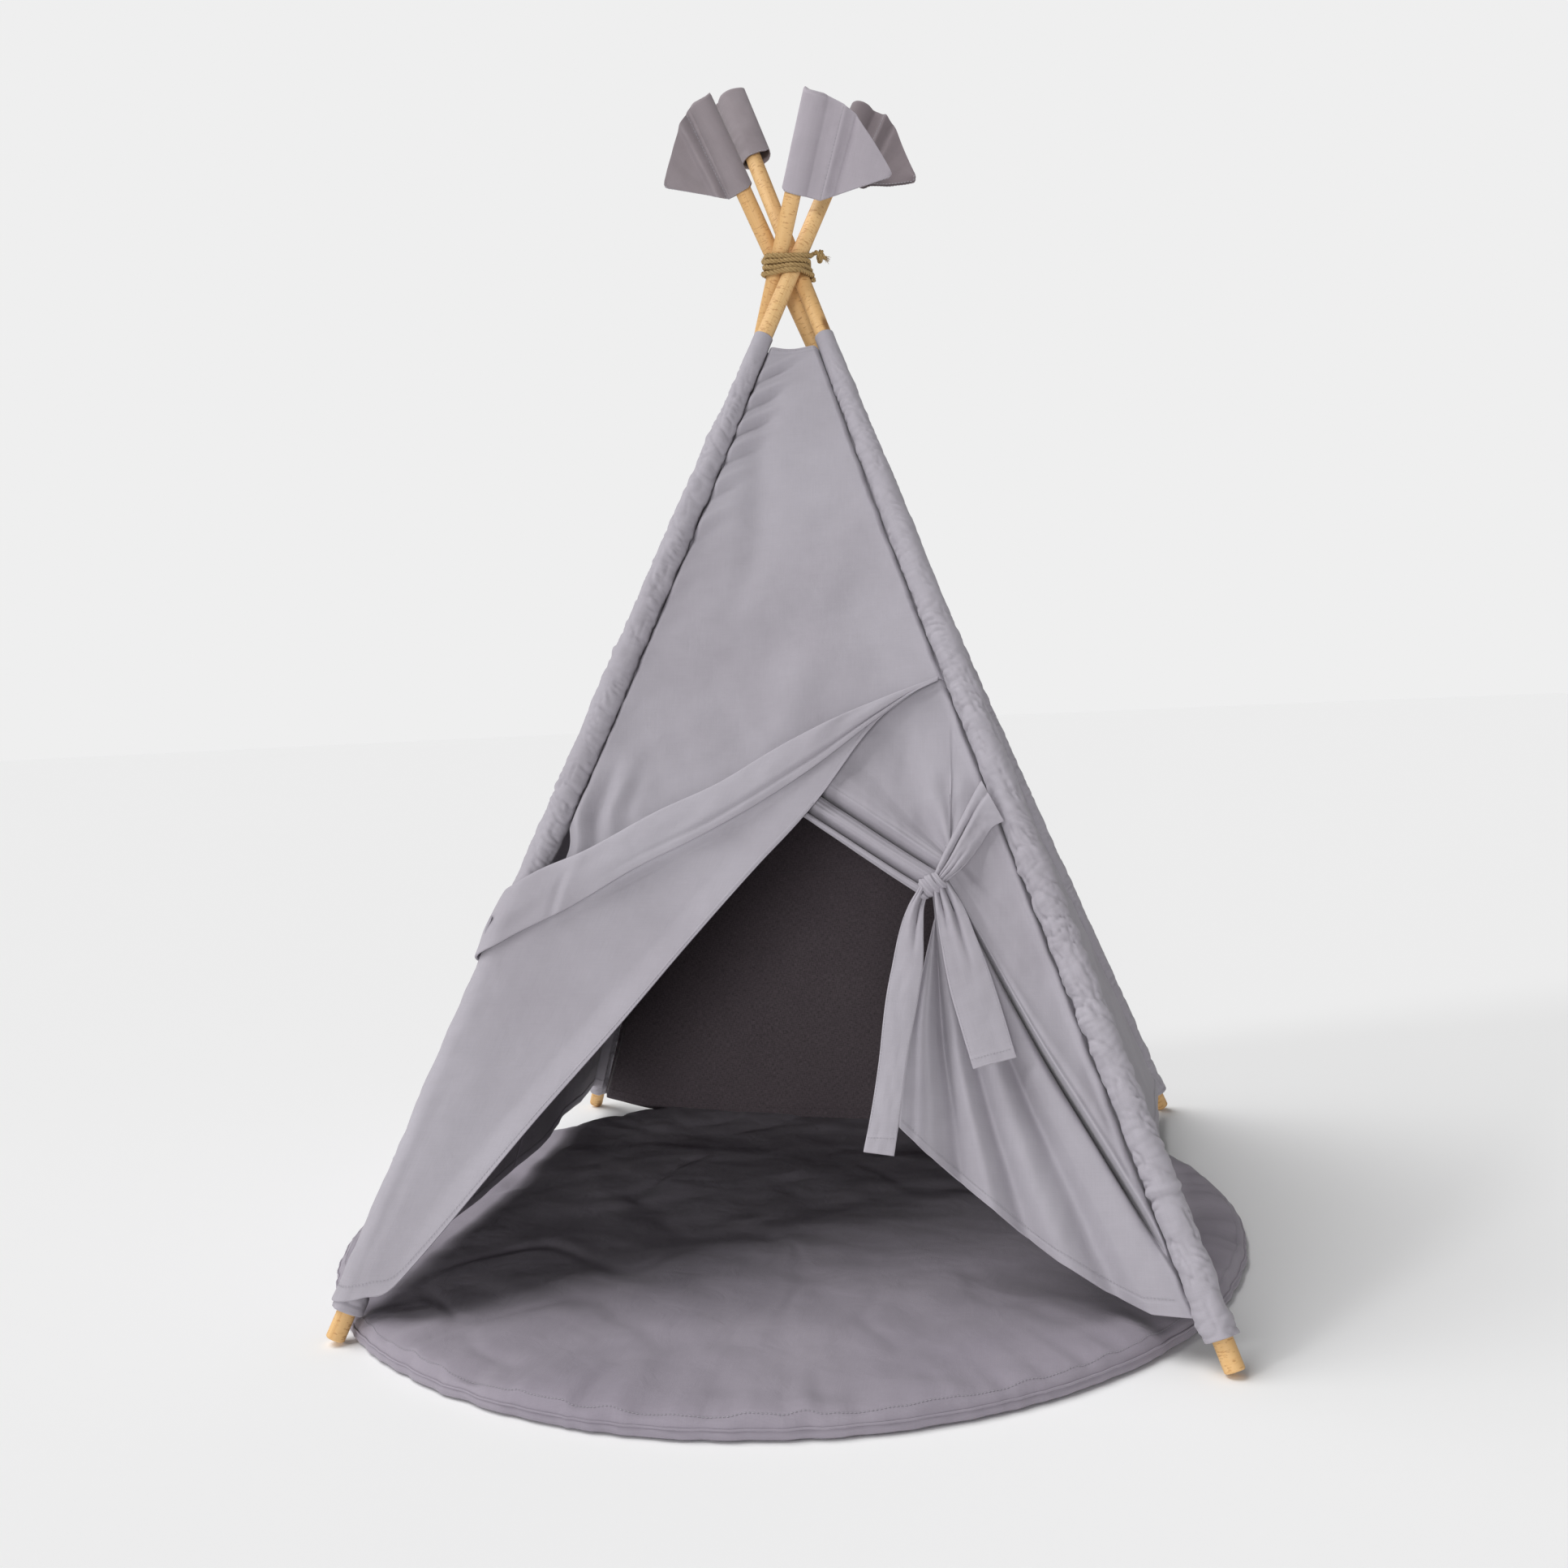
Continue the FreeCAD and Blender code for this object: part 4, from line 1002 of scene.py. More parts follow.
def make_right_flap():
    """The inner flap, drawn to the tie: a bundle of pleats to its left and a fan of folds below. Each
    guide line runs from a point at the tie to one on the flap's outline, clockwise from the left; k
    counts the guide lines and r is the share of the way out."""
    guide = [
        ((0.196, 0.509), (0.000, 0.640)),
        ((0.203, 0.519), (0.000, 0.650)),
        ((0.210, 0.530), (0.000, 0.667)),
        ((0.217, 0.541), (0.000, 0.685)),
        ((0.224, 0.552), (0.005, 0.704)),
        ((0.226, 0.556), (0.045, 0.728)),
        ((0.227, 0.558), (0.105, 0.758)),
        ((0.227, 0.560), (0.165, 0.780)),
        ((0.228, 0.561), (seam_x(0.79), 0.790)),
        ((0.222, 0.571), (seam_x(0.745), 0.745)),
        ((0.224, 0.570), (seam_x(0.68), 0.680)),
        ((0.226, 0.567), (seam_x(0.61), 0.610)),
        ((0.228, 0.561), (seam_x(0.53), 0.530)),
        ((0.228, 0.554), (seam_x(0.43), 0.430)),
        ((0.227, 0.547), (seam_x(0.32), 0.320)),
        ((0.225, 0.541), (seam_x(0.21), 0.210)),
        ((0.223, 0.536), (seam_x(0.115), 0.115)),
        ((0.220, 0.530), (seam_x(0.055), 0.055)),
        ((0.217, 0.526), (0.448, 0.058)),
        ((0.214, 0.523), (0.398, 0.080)),
        ((0.211, 0.520), (0.347, 0.108)),
        ((0.208, 0.517), (0.303, 0.138)),
        ((0.205, 0.515), (0.266, 0.166)),
        ((0.207, 0.512), (0.230, 0.193)),
        ((0.211, 0.510), (0.195, 0.220)),
        ((0.214, 0.508), (0.160, 0.250)),
    ]
    last = len(guide) - 1
    k = np.concatenate([np.linspace(0, 5, 110), np.linspace(5, 15, 130)[1:], np.linspace(15, last, 190)[1:]])
    inner_x = through([(i, g[0][0]) for i, g in enumerate(guide)])(k)
    inner_z = through([(i, g[0][1]) for i, g in enumerate(guide)])(k)
    outer_x = np.interp(k, range(last + 1), [g[1][0] for g in guide])
    outer_z = np.interp(k, range(last + 1), [g[1][1] for g in guide])
    hem = np.linspace(0.9635, 1.0, 12)
    r = np.concatenate([np.linspace(0, 0.84, 100) ** 1.1, np.linspace(0.835, 0.96, 44), hem])
    kk, rr = np.meshgrid(k, r, indexing="ij")
    x = inner_x[:, None] + (outer_x - inner_x)[:, None] * rr
    z = inner_z[:, None] + (outer_z - inner_z)[:, None] * rr
    lean = 0.020 * np.sin(math.pi * rr) * ramp(kk, 19, 25)
    x = x - lean * 0.4
    z = z - 0.012 * np.sin(math.pi * rr) * ramp(kk, 12, 16) * (1 - ramp(kk, 20, 24))
    pleats = 1 - ramp(kk, 3.9, 5.2)
    crests = [
        (0, 0.6), (0.25, 1.0), (0.55, 0.9), (1.0, -0.7), (1.5, 0.5), (1.75, 0.85), (2.1, 0.7),
        (2.45, 0.2), (2.95, -1.0), (3.15, -0.2), (3.7, 1.0), (4.3, 0.75), (5.2, 0.0),
    ]
    pleat_wave = np.interp(kk, *zip(*crests))
    ease = 0.55 + 0.45 * ramp(rr, 0.0, 0.45)
    out = 0.0092 * np.sign(pleat_wave) * np.abs(pleat_wave) ** 0.8 * ease * ramp(5.4 - kk, 0, 0.4)
    out = out + 0.0016 * noise(kk * 3.2, rr * 2.5, 301) * pleats
    out = out - pleats * ramp(rr, 0.0, 0.1) * (0.010 * bump(kk, 1.02, 0.11) + 0.014 * bump(kk, 2.95, 0.12))
    upper = ramp(kk, 4.2, 5.6) * (1 - ramp(kk, 13.0, 15.5))
    out = out - 0.010 * bump(kk, 5.6, 0.8) * bump(rr, 0.16, 0.16)
    out = out + 0.004 * bump(kk, 7.2, 0.8) * bump(rr, 0.3, 0.25)
    out = out - 0.006 * bump(kk, 6.3, 0.7) * bump(rr, 0.45, 0.3)
    belly = np.sin(math.pi * np.clip(rr, 0, 1)) ** 0.6
    out = out + upper * (0.0042 * noise(kk * 0.75, rr * 1.6, 307, 2) * belly)
    out = out + 0.0026 * upper * np.sin(kk * 2.6) * bump(rr, 0.10, 0.16)
    out = out - 0.0060 * bump(kk, 12.6, 0.7) * bump(rr, 0.28, 0.24)
    out = out + 0.0035 * bump(kk, 13.8, 0.8) * bump(rr, 0.4, 0.3)
    fan = [
        (15.4, 0.7, 0.0100), (16.05, 0.30, 0.0090), (16.62, 0.30, -0.0480), (17.6, 0.5, 0.0040),
        (18.7, 0.42, -0.0150), (19.8, 0.5, 0.0080), (20.8, 0.4, -0.0130), (21.9, 0.45, 0.0090),
        (22.9, 0.35, -0.0110), (23.9, 0.4, 0.0080), (24.6, 0.3, -0.0060),
    ]
    grow = 0.18 + 0.82 * ramp(rr, 0.02, 0.5)
    bent = kk + 0.18 * noise(rr * 3, kk * 0.3, 311)
    for place, width, height in fan:
        fade = 1.0 if place > 17.2 else 1 - 0.75 * ramp(rr, 0.72, 1.0)
        out = out + height * bump(bent, place, width) * grow * fade
    out = out - 0.022 * ramp(kk, 16.2, 19.5) * ramp(rr, 0.05, 0.5) * (1 - 0.3 * ramp(kk, 22, 25))
    out = out + 0.0020 * noise(x * 30, z * 16, 321, 2) * ramp(rr, 0.1, 0.3) * (1 - ramp(rr, 0.9, 1))
    taut = (1 - ramp(kk, 16.8, 18)) * ramp(kk, 7.5, 8.5) * ramp(rr, 0.75, 1.0)
    base = 0.0048 * (1 - ramp(rr, 0.0, 0.25)) - 0.0040 - 0.0035 * ramp(z, 0.62, 0.76) * ramp(rr, 0.3, 0.9)
    out = base + out * (1 - 0.9 * taut)
    near = pole_at("front_right", z)[..., 0] - x
    seam = (sleeve_radius(z) + SEAM) * (1 + 0.10 * noise(z * 40, 0 * z, 329))
    sewn = ramp(kk, 7.4, 8.0) * (1 - ramp(kk, 16.8, 17.3))
    out = out - sewn * (0.0120 * bump(near, seam, 0.0027) - 0.0030 * bump(near, seam + 0.008, 0.005))
    points = FRONT.at(x, z, out)
    thick = CLOTH + 0.0011 * (ramp(kk, 17.2, 17.4) * ramp(rr, 0.965, 0.97))
    normals = facing(grid_normals(points), FRONT.normal)
    piece = Piece("right_door_flap_cloth")
    piece.cloth(points, np.stack([x, z * 1.07], -1), thick, normals)
    start, column = (int(np.searchsorted(k, place)) for place in (17.3, 0.22))
    piece.sew(points, normals, (slice(start, None), -len(hem) - 1), 0.0009)
    piece.sew(points, normals, (column, slice(4, None)), 0.0006)
    made = piece.build([cover, thread], "front_frame", ["right_door_flap"])
    declare(grid_area(points), "gathered", ["sleeve_front_right_cloth"])


make_right_flap()


# ---------------------------------------------------------------- ties
def strip(
    name, left, right, out, body, width, held, rests_on, pieces=(), count=90, hem=True, wall=FRONT
):
    """A tie's strip between a left and a right edge, each a list of (x, z), with a rounded double hem. out
    gives its distance from the wall, with its folds, for s along it, away from the sleeve or the knot, and
    w across it, both from 0 to 1. width is the strip's flat width."""
    s = np.concatenate([np.linspace(0, 1, count)[:-1], [0.996, 1.0]])

    def follow(edge):
        steps = np.linspace(0, 1, len(edge))
        return [through(list(zip(steps, [p[c] for p in edge])))(s) for c in (0, 1)]

    (lx, lz), (rx, rz) = follow(left), follow(right)
    w = np.concatenate([[0, 0.012, 0.05], np.linspace(0.09, 0.91, 22), [0.95, 0.988, 1.0]])
    ss, ww = np.meshgrid(s, w, indexing="ij")
    x = lx[:, None] + (rx - lx)[:, None] * ww
    z = lz[:, None] + (rz - lz)[:, None] * ww
    points = wall.at(x, z, out(ss, ww))
    uv = np.stack([ww * 0.055, np.broadcast_to(ss, ww.shape) * 0.3], -1)
    thick = 0.0022 * (0.55 + 0.45 * ramp(np.minimum(ww, 1 - ww), 0.0, 0.02))
    thick = thick + 0.0012 * ramp(ss, 0.938, 0.942)
    normals = facing(grid_normals(points), wall.normal)
    piece = Piece(name)
    piece.cloth(points, uv, thick, normals)
    if hem:
        row = int(np.searchsorted(s, 0.948))
        for face in (1, -1):
            piece.sew(points, face * normals, (row, slice(1, -1)), 0.0016, pitch=0.0038)
        clear_of_knot = slice(int(count * 0.2), None)
        for column in (2, -3):
            piece.sew(points, normals, (clear_of_knot, column), 0.0010, pitch=0.0040, radius=0.0003)
    made = piece.build([cover, thread], body, [name.removesuffix("_cloth")])
    length = float(np.linalg.norm(np.diff(points[:, len(w) // 2], axis=0), axis=1).sum())
    area = min(grid_area(points), (width - 0.001) * length)
    declare(area, held, rests_on, pieces)


def knot(name, middle, axis, out, radius, turns, pitch=0.0088):
    """The knot: the strip wound round itself, creased along its length, with one turn tucked under."""
    steps = np.linspace(0, 1, 150)
    axis, out = unit(np.array(axis, float)), unit(np.array(out, float))
    out = unit(out - axis * out.dot(axis))
    side = np.cross(axis, out)
    angle = steps * turns * 2 * math.pi + 0.6
    swell = radius * (0.86 + 0.14 * np.sin(math.pi * steps)) + 0.0006 * np.sin(angle * 1.7)
    line = (
        np.array(middle)
        + axis * ((steps - 0.5) * pitch * turns)[:, None]
        + (out * np.cos(angle)[:, None] * 0.85 + side * np.sin(angle)[:, None]) * swell[:, None]
    )
    piece = Piece(name)
    thick = 0.0052 * (0.8 + 0.2 * np.sin(math.pi * steps)) + 0.0003 * np.sin(steps * 60)
    piece.tube(line, thick, sides=26, first=axis, flat=0.92, ridges=5)
    core = np.array(middle) + axis * np.linspace(-0.012, 0.012, 14)[:, None]
    bulge = np.sqrt(np.clip(1 - np.linspace(-0.98, 0.98, 14) ** 2, 0.02, 1))
    piece.tube(core, 0.0075 * bulge, sides=20, first=out, ridges=6)
    return piece.build([cover, thread], "front_frame", [name.removesuffix("_cloth")])


right_knot = knot(
    "right_tie_knot_cloth",
    FRONT.at(0.2045, 0.5215, 0.0165),
    (0.86, -0.05, 0.50),
    FRONT.normal,
    radius=0.0090,
    turns=3.2,
    pitch=0.0092,
)


def band_out(s, w):
    away = 0.0075 + 0.011 * ramp(s, 0.35, 0.95) + 0.01125 * (1 - ramp(s, 0.0, 0.35))
    strip_fold = 0.0038 * bump(w, 0.10, 0.09) - 0.0042 * bump(w, 0.27, 0.045) + 0.0018 * bump(w, 0.40, 0.08)
    strip_fold = strip_fold * (0.55 + 0.45 * ramp(s, 0.05, 0.3))
    gather = 0.0022 * np.sin(w * 26) * ramp(s, 0.45, 0.95) * ramp(w, 0.3, 0.45)
    soft = 0.0024 * noise(s * 3.5, w * 2.2, 401) + 0.0010 * noise(s * 12, w * 6, 405)
    edge = 0.0035 * bump(w, 1.0, 0.12) * ramp(s, 0.1, 0.4)
    return away + (strip_fold + gather + soft + 0.002 * np.sin(math.pi * w) - edge)


strip(
    "right_tie_band_cloth",
    [(0.2690, 0.6460), (0.2500, 0.6170), (0.2310, 0.5820), (0.2140, 0.5460), (0.2060, 0.5250)],
    [(0.2960, 0.5960), (0.2790, 0.5890), (0.2640, 0.5680), (0.2440, 0.5430), (0.2150, 0.5200)],
    band_out,
    "front_frame",
    0.058,
    "stretched",
    ["sleeve_front_right_cloth", "right_door_flap_cloth"],
    [right_knot],
    hem=False,
)


def outer_out(s, w):
    away = 0.0185 - 0.004 * ramp(s, 0.0, 0.3) + 0.004 * s
    near = 1 - ramp(s, 0.1, 0.62)
    fold = -0.0095 * bump(w, 0.60 + 0.1 * s, 0.07) * near + 0.0040 * bump(w, 0.44, 0.10) * near
    fold = fold - 0.0070 * bump(w, 0.28, 0.06) * (1 - ramp(s, 0.05, 0.40))
    fold = fold + 0.0022 * np.sin(w * 24) * (1 - ramp(s, 0.0, 0.28))
    lay = 0.0024 * np.cos((w - 0.5) * 2.6) + 0.0026 * noise(s * 3, w * 1.2, 411)
    lay = lay + 0.0008 * noise(s * 14, w * 4, 417)
    return away + (fold + lay + 0.0035 * np.sin(s * 5.0) * s)


strip(
    "right_tie_tail_outer_cloth",
    [
        (0.2080, 0.5200), (0.2110, 0.4870), (0.2165, 0.4500),
        (0.2260, 0.4000), (0.2390, 0.3550), (0.2530, 0.3105),
    ],
    [
        (0.2260, 0.5240), (0.2440, 0.4960), (0.2580, 0.4620),
        (0.2750, 0.4180), (0.2910, 0.3680), (0.3040, 0.3235),
    ],
    outer_out,
    "right_tail_outer",
    0.056,
    "hung",
    ["right_tie_knot_cloth"],
)


def inner_out(s, w):
    away = 0.0165 + 0.010 * s + 0.006 * s * s
    near = 1 - ramp(s, 0.06, 0.45)
    fold = -0.0085 * bump(w, 0.66, 0.09) * near + 0.0036 * bump(w, 0.36, 0.14) * near
    fold = fold + 0.0022 * np.sin(w * 20) * (1 - ramp(s, 0.0, 0.2))
    lay = 0.0022 * np.cos((w - 0.5) * 2.8) + 0.0028 * noise(s * 3.5, w * 1.2, 421)
    lay = lay + 0.0008 * noise(s * 14, w * 4, 427)
    return away + (fold + lay + 0.0040 * np.sin(s * 6.0) * s)


strip(
    "right_tie_tail_inner_cloth",
    [
        (0.1905, 0.5190), (0.1760, 0.4960), (0.1660, 0.4700), (0.1570, 0.4300),
        (0.1480, 0.3820), (0.1410, 0.3200), (0.1325, 0.2640), (0.1240, 0.2190),
    ],
    [
        (0.2000, 0.5170), (0.1955, 0.4930), (0.1950, 0.4650), (0.1945, 0.4270),
        (0.1870, 0.3800), (0.1760, 0.3270), (0.1680, 0.2680), (0.1600, 0.2150),
    ],
    inner_out,
    "right_tail_inner",
    0.050,
    "hung",
    ["right_tie_knot_cloth"],
    count=120,
)

# The left tie lies on the wrapped flap, outside the left wall. Along that wall x grows towards the front.
LEFT = WALLS["left"]
box_low, box_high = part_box("left_tie_knot")
left_knot_place = np.array((box_low + box_high) / 2)
left_x = float(left_knot_place @ LEFT.along)
left_z = float(left_knot_place[2])
left_knot = knot(
    "left_tie_knot_cloth",
    LEFT.at(left_x, np.array(left_z), 0.036),
    LEFT.along + np.array([0, 0, 0.2]),
    LEFT.normal,
    radius=0.0078,
    turns=2.2,
)
front_x = float(pole_at("front_left", np.array(left_z + 0.03)) @ LEFT.along)


def left_band_out(s, w):
    away = 0.0300 + 0.004 * ramp(s, 0.4, 1.0)
    gather = 0.0022 * np.sin(w * 16) * ramp(s, 0.3, 1)
    return away + (gather + 0.0020 * noise(s * 4, w * 2, 431) - 0.006 * (1 - ramp(s, 0.0, 0.25)))


strip(
    "left_tie_band_cloth",
    [
        (front_x + 0.020, left_z + 0.052), (left_x + 0.062, left_z + 0.038),
        (left_x + 0.034, left_z + 0.022), (left_x + 0.008, left_z + 0.008),
    ],
    [
        (front_x + 0.020, left_z + 0.014), (left_x + 0.060, left_z + 0.001),
        (left_x + 0.034, left_z - 0.005), (left_x + 0.008, left_z - 0.007),
    ],
    left_band_out,
    "front_frame",
    0.058,
    "stretched",
    ["left_door_flap_cloth"],
    [left_knot],
    hem=False,
    wall=LEFT,
)


def left_tail_out(seed):
    def out(s, w):
        lay = 0.0024 * np.cos((w - 0.5) * 2.8) + 0.003 * noise(s * 3, w * 1.2, seed)
        return 0.0350 - 0.004 * s + (lay + 0.002 * np.sin(w * 20) * (1 - ramp(s, 0, 0.25)))

    return out


for label, side, seed in (("front", 1, 441), ("back", -1, 451)):
    # The tail leaves the knot to its side: near and far are its edges' distances from the knot, in
    # millimetres, at each drop below it, and end is where an edge stops.
    edges = [
        [
            (left_x + pick(side * near, side * far) / 1000, left_z - drop)
            for drop, near, far in ((0.004, 2, 14), (0.07, 3, 30), (0.135, 8, 50), (end, 10, 54))
        ]
        for pick, end in ((min, 0.195), (max, 0.198))
    ]
    strip(
        f"left_tie_tail_{label}_cloth",
        *edges,
        left_tail_out(seed),
        f"left_tail_{label}",
        0.050,
        "hung",
        ["left_tie_knot_cloth"],
        wall=LEFT,
    )


# ---------------------------------------------------------------- flags
# How far below the pole's top a flag ends, and the share of its width that goes round the pole.
FLAG_BOTTOM = -0.133
CHANNEL_SHARE = 0.34


def soft_corners(stations, values, where):
    """Straight runs between the stations, with every corner turned over a short arc."""
    reach = 14
    fine = np.linspace(0, 1, 801)
    line = np.pad(np.interp(fine, stations, values), reach, mode="reflect", reflect_type="odd")
    weights = np.exp(-np.linspace(-2, 2, 2 * reach + 1) ** 2)
    return np.interp(where, fine, np.convolve(line, weights / weights.sum(), "valid"))


def make_flag(corner, seed, cotton, slack, channel, corner_at, droop, peak, curl):
    """A flag: a channel sewn round the pole's top, and a doubled fan that stands out beside it. All four
    have one cut. slack is how far the channel reaches past the pole on its free side, channel is where its
    seam lies, corner_at is the fan's outer corner, droop its sag, peak the tip left over the
    pole, and curl where the fan's wave starts."""
    _, direction, top = AXES[corner]
    box_low, box_high = (np.array(c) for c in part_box("flag_" + corner))
    outward = (box_low + box_high) / 2 - top
    x_axis = unit(outward - direction * outward.dot(direction))
    y_axis = np.cross(direction, x_axis)
    top_levels = [0.925, 0.95, 0.97, 0.985, 0.996, 1.0]
    levels = np.concatenate([[0, 0.006, 0.06], np.linspace(0.09, 0.90, 56), top_levels])
    across = np.concatenate([np.linspace(0, CHANNEL_SHARE, 44), np.linspace(CHANNEL_SHARE, 1.0, 76)[1:]])
    far_x, far_z = corner_at
    shoulder = channel + 0.24 * (far_x - channel)
    low_at = (0, 0.06, CHANNEL_SHARE, 0.97, 1.0)
    low_x = (-slack, -slack + 0.006, channel, far_x - 0.002, far_x)
    low_z = (FLAG_BOTTOM + 0.006, FLAG_BOTTOM + 0.001, FLAG_BOTTOM, far_z - 0.004, far_z - 0.001)
    high_at = (0, 0.10, 0.20, CHANNEL_SHARE, 0.46, 0.96, 1.0)
    high_x = (-slack + 0.001, -slack + 0.008, 0.012, channel + 0.003, shoulder, far_x - 0.003, far_x)
    high_z = (peak, 0.0035, 0.0035, -0.003, -0.012, far_z + 0.006, far_z + 0.001)
    w, v = np.meshgrid(across, levels, indexing="ij")
    low_x, low_z = (soft_corners(low_at, values, w) for values in (low_x, low_z))
    high_x, high_z = (soft_corners(high_at, values, w) for values in (high_x, high_z))
    px = low_x + (high_x - low_x) * v
    pz = low_z + (high_z - low_z) * v
    pz = pz - droop * bump(w, 0.72, 0.20) * v
    left_side = np.sqrt(np.clip(1 - (np.minimum(px, 0) / (slack + 0.0005)) ** 2, 0, 1))
    right_side = np.clip(1 - (np.clip(px, 0, None) / 0.0205) ** 2, 0, None) ** 0.8
    tube = 0.0142 * np.where(px < 0, left_side, right_side)
    closing = np.sqrt(np.clip(1 - ramp(pz, 0.0020, 0.0100), 0.0, 1)) * (1 - ramp(v, 0.988, 1.0))
    half = np.maximum(tube * closing, 0.0009) + 0.0006
    half = half + 0.0010 * ramp(w, 0.40, 0.55) * (0.5 + 0.5 * noise(px * 60, pz * 30, seed + 2))
    fan = ramp(w, 0.30, 0.55)
    wave = 0.0065 * np.sin(w * 7.5 + 1.2 * v + curl) * (1 - 0.6 * w)
    bend = fan * (0.012 * noise(w * 1.6, v * 0.9, seed) + wave)
    bend = bend + 0.0055 * bump(w, 0.45, 0.045) - 0.0050 * bump(w, 0.36, 0.030)
    ripple = 0.0014 * noise(px * 45 - pz * 20, pz * 22, seed + 4, 2)
    pull = 0.0012 * noise(pz * 110, px * 30, seed + 6) * bump(w, 0.32, 0.10)
    half = half * (0.35 + 0.65 * ramp(1 - w, 0.0, 0.012))
    base = top + x_axis * px[..., None] + direction * pz[..., None]
    front = base + y_axis * (bend + half + ripple + pull)[..., None]
    rear = base + y_axis * (bend - half + ripple * 0.6)[..., None]
    loop = np.concatenate([front[:-1], rear[::-1][:-1]], 0)
    flat = np.stack([px, pz], -1)
    normals = facing(grid_normals(loop, closed=True), loop - loop.mean(0, keepdims=True))
    piece = Piece(f"flag_{corner}_cloth")
    piece.cloth(loop, np.concatenate([flat[:-1], flat[::-1][:-1]], 0), 0.0011, normals, closed=True)
    stitch = int(np.argmin(abs(across - 0.345)))
    for face, grid in ((1, front), (-1, rear)):
        up = facing(grid_normals(grid), y_axis * face)
        for line in ((stitch, slice(1, -2)), (slice(2, -1), 1), (-4, slice(1, -2))):
            piece.sew(grid, up, line, 0.0006, pitch=0.0045, radius=0.0005)
    made = piece.build([cotton, thread], f"flag_{corner}", [f"flag_{corner}"])
    declare(2 * grid_area(base), "folded", [f"pole_{corner}"])


# Each flag's cotton gives it painted light or painted shade, by how it faces the light.
make_flag("back_right", 501, flag_painted_shade, 0.0155, 0.024, (0.100, -0.076), 0.000, 0.005, 0.4)
make_flag("front_right", 511, flag_painted_shade, 0.0270, 0.024, (0.112, -0.084), 0.002, 0.003, 1.4)
make_flag("back_left", 521, flag_cotton, 0.0165, 0.041, (0.131, -0.076), -0.002, 0.006, 0.0)
make_flag("front_left", 531, flag_painted_deep_shade, 0.0155, 0.036, (0.119, -0.092), 0.001, 0.003, 2.2)


# ---------------------------------------------------------------- rope
def twisted(piece, line, radius, pitch):
    """A laid rope: three strands twisted round the line that the rope follows."""
    _, u, v = frame_of(line)
    for strand in range(3):
        angle = run_of(line) / pitch * 2 * math.pi + strand * 2 * math.pi / 3
        offset = (u * np.cos(angle)[:, None] + v * np.sin(angle)[:, None]) * radius * 0.56
        piece.tube(line + offset, radius * 0.50, sides=9)


